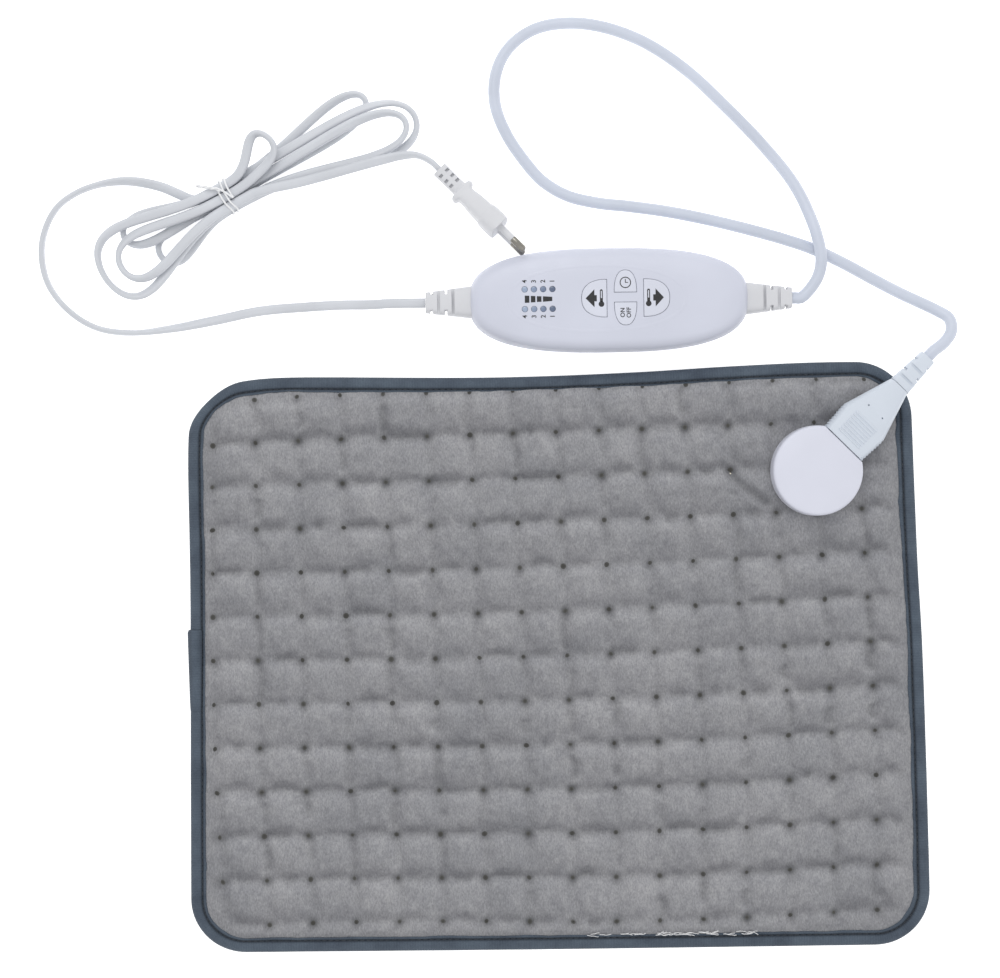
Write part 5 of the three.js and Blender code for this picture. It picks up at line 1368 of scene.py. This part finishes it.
def make_connector(material):
    """Fan shaped connector in two halves, with ribs on its top and grip serrations on its sides."""
    for name, levels in (("lower", CONNECTOR_LOWER), ("upper", CONNECTOR_UPPER)):
        rings = [at_height(connector_outline(inset), z) for inset, z in smooth_line(levels, 0.5)]
        shell = joined(f"connector_{name}_half", [ring_piece(rings)], material, socket_place, 38)
        pocket = block_piece(CONNECTOR_START - 1, CONNECTOR_START + POCKET_DEPTH,
                             -POCKET_HALF_WIDTH, POCKET_HALF_WIDTH,
                             CONNECTOR_AXIS - POCKET_HALF_HEIGHT, CONNECTOR_AXIS + POCKET_HALF_HEIGHT)
        cuts = [pocket]
        if name == "upper":
            levels = CONNECTOR_TOP - 1.2, CONNECTOR_TOP + 1
            cuts += [post_piece(x, y, PINHOLE_RADIUS, *levels, 12) for x, y in PINHOLES]
        carve(shell, cuts, socket_place, 38)
        stand_for(shell, "lead", "white_plastic", f"connector_{name}_shell")
    ribs = []
    for rib in range(GRIP_RIBS):
        x = GRIP_START + (rib + 0.25) * GRIP_PITCH
        across = np.linspace(-GRIP_HALF, GRIP_HALF, 9)
        line = np.column_stack([np.full(9, x), across, np.full(9, CONNECTOR_TOP)])
        ribs.append(tube_piece(line, super_outline(0.55, GRIP_RISE, 2.4, 14)))
    stand_for(joined("connector_ribs", ribs, material, socket_place, 50), "lead", "white_plastic")


def slotted_relief(name, rings, first_slot, tip, core, material, place, *nodes):
    """Tapered strain relief with slots cut in turn above and below and at its sides."""
    reach = 20
    slots = []
    for turn, x in enumerate(np.arange(first_slot, tip - 2 * SLOT_WIDTH, SLOT_PITCH)):
        for low, high in ((core, reach), (-reach, -core)):
            across, up = ((-reach, reach), (low, high)) if turn % 2 == 0 else ((low, high), (-reach, reach))
            slots.append(block_piece(x, x + SLOT_WIDTH, *across, *up))
    rows = smooth_line(rings, 1.5)
    relief = slotted_moulding(name, rows, RELIEF_SIDES, slots, RELIEF_ROUND, material, place)
    stand_for(relief, "lead", "relief_plastic", *nodes)


def make_connector_relief(material):
    start = CONNECTOR_END + FIT
    tip = start + CONNECTOR_RELIEF_LENGTH
    end = CONNECTOR_RELIEF_TIP / 2
    rings = ((start, CONNECTOR_TAIL_HALF, 4.7), ((start + tip) / 2, 5.4, 4.7), (tip, end, end))
    slotted_relief("connector_boot", rings, start + SLOT_PITCH, tip, end - 1, material,
                   lambda points: socket_place(points + (0, 0, CONNECTOR_AXIS)), "connector_relief")


# Controller
def case_outline(inset):
    half_length, half_width = CONTROLLER_LENGTH / 2 - inset, CONTROLLER_WIDTH / 2 - inset
    return super_outline(half_length, half_width, CONTROLLER_POWER, CASE_SIDES)


def case_rings(profile, squeeze, wall):
    """Rings of the case from (height, inset) points, drawn in by a wall."""
    middle = CONTROLLER_SPLIT
    return [at_height(case_outline(inset + wall), middle + (z - middle) * squeeze) for z, inset in profile]


def case_top(x, y):
    """Height of the case's top over a point."""
    low, high = 0.0, CONTROLLER_WIDTH / 2 - 0.1
    for _ in range(40):
        inset = (low + high) / 2
        reach = (abs(x) / (CONTROLLER_LENGTH / 2 - inset)) ** CONTROLLER_POWER
        reach += (abs(y) / (CONTROLLER_WIDTH / 2 - inset)) ** CONTROLLER_POWER
        low, high = (inset, high) if reach < 1 else (low, inset)
    profile = smooth_line(UPPER_PROFILE, 0.5)
    return float(np.interp(low, profile[:, 1], profile[:, 0]))


def button_outline(button, grow, steps=48):
    facing = math.copysign(1, button["apex"] - button["straight"])
    start = button["straight"] - facing * grow
    depth = abs(button["apex"] - button["straight"]) + 2 * grow
    half = button["span"] / 2 + grow
    angle = np.pi * (np.arange(steps + 1) / steps - 0.5)
    out = start + facing * depth * rounded_power(np.cos(angle), BUTTON_POWER)
    along = facing * half * rounded_power(np.sin(angle), BUTTON_POWER)
    if button["axis"] == "x":
        return np.column_stack([out, button["centre"] + along])
    return np.column_stack([button["centre"] - along, out])


def light_spots(row_y):
    return [(LIGHT_FIRST_X + light * LIGHT_PITCH, row_y) for light in range(LIGHT_COUNT)]


def parted(profile, gap):
    """A shell's smooth profile, with the gap of the parting line at the split."""
    return smooth_line([(z + gap if z == CONTROLLER_SPLIT else z, inset) for z, inset in profile], 0.7)


def make_case(material):
    """Smooth case in two shells, with openings for buttons, lights and screws."""
    upper = parted(UPPER_PROFILE, SPLIT_GAP)
    lower = parted(LOWER_PROFILE, -SPLIT_GAP)
    top_squeeze = 1 - CASE_WALL / (UPPER_PROFILE[-1][0] - CONTROLLER_SPLIT)
    floor_squeeze = 1 - CASE_WALL / CONTROLLER_SPLIT
    rings = case_rings(upper[::-1], top_squeeze, CASE_WALL) + case_rings(upper, 1, 0)
    shell = joined("case_upper", [ring_piece(rings)], material, controller_place, 30)
    openings = [ring_piece([at_height(button_outline(button, BUTTON_GAP), z) for z in OPENING_LEVELS])
                for button in BUTTONS.values()]
    lights = light_spots(LIGHT_ROW_Y) + light_spots(-LIGHT_ROW_Y)
    openings += [post_piece(x, y, LIGHT_RADIUS + LIGHT_GAP, *OPENING_LEVELS, 28) for x, y in lights]
    carve(shell, openings, controller_place, 30)
    stand_for(shell, "lead", "white_plastic", "controller_upper_shell")
    rings = case_rings(lower, 1, 0) + case_rings(lower[::-1], floor_squeeze, CASE_WALL)
    shell = joined("case_lower", [ring_piece(rings)], material, controller_place, 30)
    recesses = [post_piece(x, y, SCREW_HEAD, -1, SCREW_SEAT, 28) for x, y in SCREW_SPOTS]
    carve(shell, recesses, controller_place, 30)
    stand_for(shell, "lead", "white_plastic", "controller_lower_shell")


def make_bead(material):
    """Low oval bead round the buttons and lights."""
    outline = super_outline(BEAD_HALF_LENGTH, BEAD_HALF_WIDTH, BEAD_POWER, BEAD_SIDES) + (BEAD_CENTRE, 0)
    way = np.roll(outline, -1, axis=0) - np.roll(outline, 1, axis=0)
    way /= np.linalg.norm(way, axis=1)[:, None]
    aside = np.column_stack([way[:, 1], -way[:, 0]])
    rings = []
    for offset, lift in BEAD_SECTION:
        moved = outline + offset * aside
        rings.append(np.column_stack([moved, [case_top(x, y) + lift for x, y in moved]]))
    points = np.stack(rings, axis=1).reshape(-1, 3)
    bead = make_object("case_bead", controller_place(points), skin_faces(len(outline), len(rings), loop=True),
                       material, 60)
    stand_for(bead, "lead", "white_plastic")


def make_button(name, material):
    """Button cap with a soft edge that follows the case's top."""
    button = BUTTONS[name]
    outline = button_outline(button, 0)
    middle = outline.mean(axis=0)
    rings = []
    for share, lift in BUTTON_SECTION:
        drawn = middle + (outline - middle) * share
        heights = [BUTTON_FLOOR if lift is None else case_top(x, y) + BUTTON_RISE + lift for x, y in drawn]
        rings.append(np.column_stack([drawn, heights]))
    cap = joined(f"cap_{name}", [ring_piece(rings)], material, controller_place, 50)
    stand_for(cap, name, "button_plastic", f"button_{name}")


def make_lights(material):
    """Light guides: a bar with four posts that end flush with the case."""
    for name, row_y in (("heat", -LIGHT_ROW_Y), ("time", LIGHT_ROW_Y)):
        half = LIGHT_RADIUS + LIGHT_BAR_MARGIN
        ends = LIGHT_FIRST_X - half, LIGHT_FIRST_X + (LIGHT_COUNT - 1) * LIGHT_PITCH + half
        pieces = [block_piece(*ends, row_y - half, row_y + half, *LIGHT_BAR_LEVELS)]
        for x, y in light_spots(row_y):
            top = case_top(x, y)
            domes = ((1, 19.8), (1, top - 0.25), (0.94, top - 0.05), (0.7, top + 0.06), (0.3, top + 0.1))
            rings = [at_height(round_section(LIGHT_RADIUS * share, 28) + (x, y), z) for share, z in domes]
            pieces.append(ring_piece(rings))
        guide = joined(f"light_posts_{name}", pieces, material, controller_place, 40)
        stand_for(guide, "lead", "clear_plastic", f"light_guide_{name}")


def make_reliefs(material):
    wall = CONTROLLER_LENGTH / 2
    tip = wall + RELIEF_LENGTH
    places = (wall - 3.5, wall + RELIEF_COLLAR, tip)
    rings = [(x, half, half * RELIEF_FLATNESS) for x, half in zip(places, RELIEF_HALVES)]
    for name, side in (("left", -1), ("right", 1)):
        def place(points, side=side):
            return controller_place(points * (side, side, 1) + (0, 0, CONTROLLER_SPLIT))
        slotted_relief(f"boot_{name}", rings, wall + RELIEF_COLLAR, tip, PAD_CORD / 2 + 1, material,
                       place, f"controller_relief_{name}")


# Printed marks
def flat_mark(outlines, height, rise):
    """A thin printed shape from outlines of (x, y) points, the first with the others as holes in it."""
    loops = [[Vector((x, y, 0)) for x, y in outline] for outline in outlines]
    flat = [point for loop in loops for point in loop]
    triangles = tessellate_polygon(loops)
    count = len(flat)
    tops = [(p.x, p.y, height(p.x, p.y) + rise + INK_TOP) for p in flat]
    bottoms = [(p.x, p.y, height(p.x, p.y) + rise + INK_BOTTOM) for p in flat]
    faces = []
    for a, b, c in triangles:
        upward = (flat[b] - flat[a]).cross(flat[c] - flat[a]).z > 0
        faces.append((a, b, c) if upward else (a, c, b))
        faces.append((c + count, b + count, a + count) if upward else (b + count, c + count, a + count))
    start = 0
    for loop in loops:
        for index in range(len(loop)):
            a, b = start + index, start + (index + 1) % len(loop)
            faces.append((b, a, a + count, b + count))
        start += len(loop)
    return np.array(tops + bottoms), faces


def arrow_outline(tip, base, stem, half, stem_half):
    lower = [(tip, 0), (base, -half), (base, -stem_half), (stem, -stem_half)]
    return lower + [(stem, stem_half), (base, stem_half), (base, half)]


def ring_outlines(x, y, outer, inner):
    return [round_section(outer, 32) + (x, y), round_section(inner, 32)[::-1] + (x, y)]


def thermometer(x):
    """A thermometer sign: a bulb and a stem with a slot."""
    stem = [(x - 0.8, -2), (x - 0.8, 4.2), (x - 0.4, 4.8), (x + 0.4, 4.8), (x + 0.8, 4.2), (x + 0.8, -2)]
    slot = [(x - 0.3, 0), (x + 0.3, 0), (x + 0.3, 4), (x - 0.3, 4)]
    return [[stem, slot], [round_section(1.55, 28) + (x, -3.2)]]


def clock(x, y):
    """A clock sign: a ring with two hands."""
    hands = [[(x - 0.22, y - 0.2), (x + 0.22, y - 0.2), (x + 0.22, y + 1.9), (x - 0.22, y + 1.9)]]
    side = [[(x + 0.22, y - 0.2), (x + 1.5, y - 0.2), (x + 1.5, y + 0.2), (x + 0.22, y + 0.2)]]
    return [ring_outlines(x, y, 3.1, 2.6), hands, side]


def lettering(text, x, y, size):
    """Text read from the right-hand side, as (points, faces) on the case's plan."""
    curve = bpy.data.curves.new("lettering", "FONT")
    curve.body = text
    curve.size = size
    curve.align_x = "CENTER"
    curve.align_y = "CENTER"
    curve.extrude = 0.05
    curve.offset = INK_SPREAD
    obj = bpy.data.objects.new("lettering", curve)
    mesh = bpy.data.meshes.new_from_object(obj)
    flat = turned([tuple(vertex.co) for vertex in mesh.vertices], 90) + (x, y, 0)
    faces = [tuple(face.vertices) for face in mesh.polygons]
    bpy.data.objects.remove(obj)
    bpy.data.curves.remove(curve)
    bpy.data.meshes.remove(mesh)
    return flat, faces


def printed_text(text, x, y, size, rise):
    flat, faces = lettering(text, x, y, size)
    flat[:, 2] += [case_top(px, py) + rise for px, py, _ in flat]
    return flat, faces


def wedge_bars():
    """Four bars between the lights that fall in height from left to right."""
    bars = []
    for start, end, half0, half1 in WEDGE_BARS:
        x0, x1 = LIGHT_FIRST_X + start, LIGHT_FIRST_X + end
        bars.append([[(x0, -half0), (x1, -half1), (x1, half1), (x0, half0)]])
    return bars


def make_marks(material):
    """Printed signs on the buttons and the case."""
    signs = {
        "heat_down": [[arrow_outline(-13.2, -8.4, -7.1, 4.9, 1.7)], *thermometer(-4.6)],
        "heat_up": [[arrow_outline(29.5, 25, 23.7, 4.9, 1.7)], *thermometer(21.2)],
        "timer": clock(8.6, 8.4),
    }
    for name, shapes in signs.items():
        pieces = [flat_mark(shape, case_top, BUTTON_RISE) for shape in shapes]
        stand_for(joined(f"sign_{name}", pieces, material, controller_place, 60), name, "black_plastic")
    words = [printed_text(word, x, -8, WORD_SIZE, BUTTON_RISE) for word, x in (("ON", 7), ("OFF", 10.4))]
    stand_for(joined("sign_power", words, material, controller_place, 60), "power", "black_plastic")
    numbers = []
    for index, (x, _) in enumerate(light_spots(0)):
        for y in (LIGHT_ROW_Y + 4.3, -LIGHT_ROW_Y - 4.1):
            numbers.append(printed_text(str(LIGHT_COUNT - index), x, y, NUMBER_SIZE, 0))
    pieces = [flat_mark(bar, case_top, 0) for bar in wedge_bars()] + numbers
    stand_for(joined("sign_lights", pieces, material, controller_place, 60), "lead", "black_plastic")


# Plug
def make_plug(plastic, steel):
    """Flat plug with finger wings, a slotted tail, sleeved pins and a collar by its face."""
    near, far = PLUG_SLOT_BAND
    floor, top = PLUG_SLOT_LEVELS
    slots = []
    for x in PLUG_SLOTS:
        for across in ((near, far), (-far, -near)):
            for up in ((floor, top), (-top, -floor)):
                slots.append(block_piece(x, x + PLUG_SLOT_WIDTH, *across, *up))
    rows = smooth_line(PLUG_SECTIONS, 0.8)
    body = slotted_moulding("plug_case", rows, PLUG_SIDES, slots, PLUG_ROUND, plastic, plug_place)
    stand_for(body, "lead", "white_plastic", "plug_body")
    made = [body]
    end = PLUG_LENGTH + PLUG_SLEEVE_LENGTH
    tip = PLUG_LENGTH + PLUG_PIN_LENGTH
    outer, bare = PLUG_SLEEVE_RADIUS, PLUG_PIN_RADIUS
    sleeve = ((PLUG_LENGTH - 1, outer), (end - 0.3, outer), (end, outer - 0.3))
    pin = ((end - 2, bare - 0.5), (end, bare - 0.5), (end + 0.15, bare - 0.08), (end + 0.4, bare),
           (tip - 1.4, bare), (tip - 0.6, bare - 0.35), (tip - 0.15, bare - 0.9), (tip, bare - 1.5))
    levels = (-PLUG_PIN_PITCH / 2, PLUG_PIN_PITCH / 2)
    pieces = [turned_piece(sleeve, 32, z) for z in levels]
    sleeves = joined("plug_sleeves", pieces, plastic, plug_place, 40)
    made.append(stand_for(sleeves, "lead", "white_plastic"))
    for index, z in enumerate(levels, 1):
        prong = joined(f"plug_prong_{index}", [turned_piece(pin, 36, z)], steel, plug_place, 50)
        made.append(stand_for(prong, "lead", "pin_metal", f"plug_pin_{index}"))
    return made


# Carried-over nodes
def dress(materials):
    """Finishes for the frame's own nodes that stay in sight or inside the cases."""
    for key, material in materials.items():
        for name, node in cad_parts.items():
            if name.startswith(key):
                node.data.materials.clear()
                node.data.materials.append(material)


# Surroundings
def make_floor():
    half = FLOOR_HALF
    corners = np.array(((-half, -half), (half, -half), (half, half), (-half, half)))
    floor = make_object("floor", at_height(corners, FLOOR_LEVEL), [(0, 1, 2, 3)], pale_floor())


def make_light():
    world = bpy.data.worlds.new("studio")
    world.use_nodes = True
    world.node_tree.nodes["Background"].inputs["Color"].default_value = (1, 1, 1, 1)
    world.node_tree.nodes["Background"].inputs["Strength"].default_value = WORLD_STRENGTH
    bpy.context.scene.world = world
    for name, place, size, energy in LAMPS:
        data = bpy.data.lights.new(name, "AREA")
        data.size = size
        data.energy = energy
        lamp = bpy.data.objects.new(name, data)
        lamp.location = place
        lamp.rotation_euler = (Vector(LAMP_TARGET) - Vector(place)).to_track_quat("-Z", "Y").to_euler()
        bpy.context.scene.collection.objects.link(lamp)
    bpy.context.scene.view_settings.view_transform = "Standard"


white = moulded_plastic("white_plastic", tint(205, 207, 219))
case_white = moulded_plastic("case_plastic", tint(196, 199, 212))
relief_white = moulded_plastic("relief_plastic", tint(200, 201, 205), 0.5)
connector_white = moulded_plastic("connector_plastic", tint(199, 206, 216), 0.5)
button_white = moulded_plastic("button_plastic", tint(201, 204, 216), 0.5)
black = moulded_plastic("black_plastic", tint(34, 35, 38), 0.5)
steel_finish = plated_metal("steel", tint(196, 196, 192), 0.28)
brass_finish = plated_metal("brass", tint(201, 168, 90), 0.32)
tape = binding_tape()
pile = plush()

make_camera()
plug_pieces = make_plug(relief_white, plated_metal("pin_steel", tint(150, 147, 140), 0.22))
make_pad_cord(cord_sheath("pad_cord_sheath", tint(190, 196, 209)))
make_mains_cord(cord_sheath("mains_cord_sheath", tint(193, 196, 202)))
make_tie(moulded_plastic("tie_plastic", tint(226, 227, 229), 0.5))

front = make_front(pile)
make_tufts(front, tuft_weld_shade())
make_back(pile)
make_felt(pressed_felt())
make_binding(tape)
make_lap(tape)
# The stitch thread is slate, darkened further to the painted shade of the groove it lies in.
make_stitches(spun_thread("slate_thread_groove_shade", tint(40, 46, 54)))
make_loose_threads(spun_thread("white_thread", tint(224, 224, 226)))

make_socket(white)
make_connector(connector_white)
make_connector_relief(connector_white)
make_case(case_white)
make_bead(case_white)
for button_name in BUTTONS:
    make_button(button_name, button_white)
make_lights(light_pipe())
make_reliefs(relief_white)
make_marks(printed_ink())

dress({
    "heating_wire": moulded_plastic("wire_sheath", tint(214, 207, 190), 0.6),
    "thermostat": black,
    "socket_back": white,
    "socket_pin": brass_finish,
    "socket_screw": steel_finish,
    "connector_nose": white,
    "connector_contact": brass_finish,
    "circuit_board": board_laminate(),
    "dropper_capacitor": moulded_plastic("film_plastic", tint(190, 168, 60), 0.35),
    "triac": black,
    "control_chip": black,
    "led_strip": bpy.data.materials["light_pipe"],
    "switch_": black,
    "case_screw": steel_finish,
    "cord_clamp": white,
})
make_floor()
make_light()
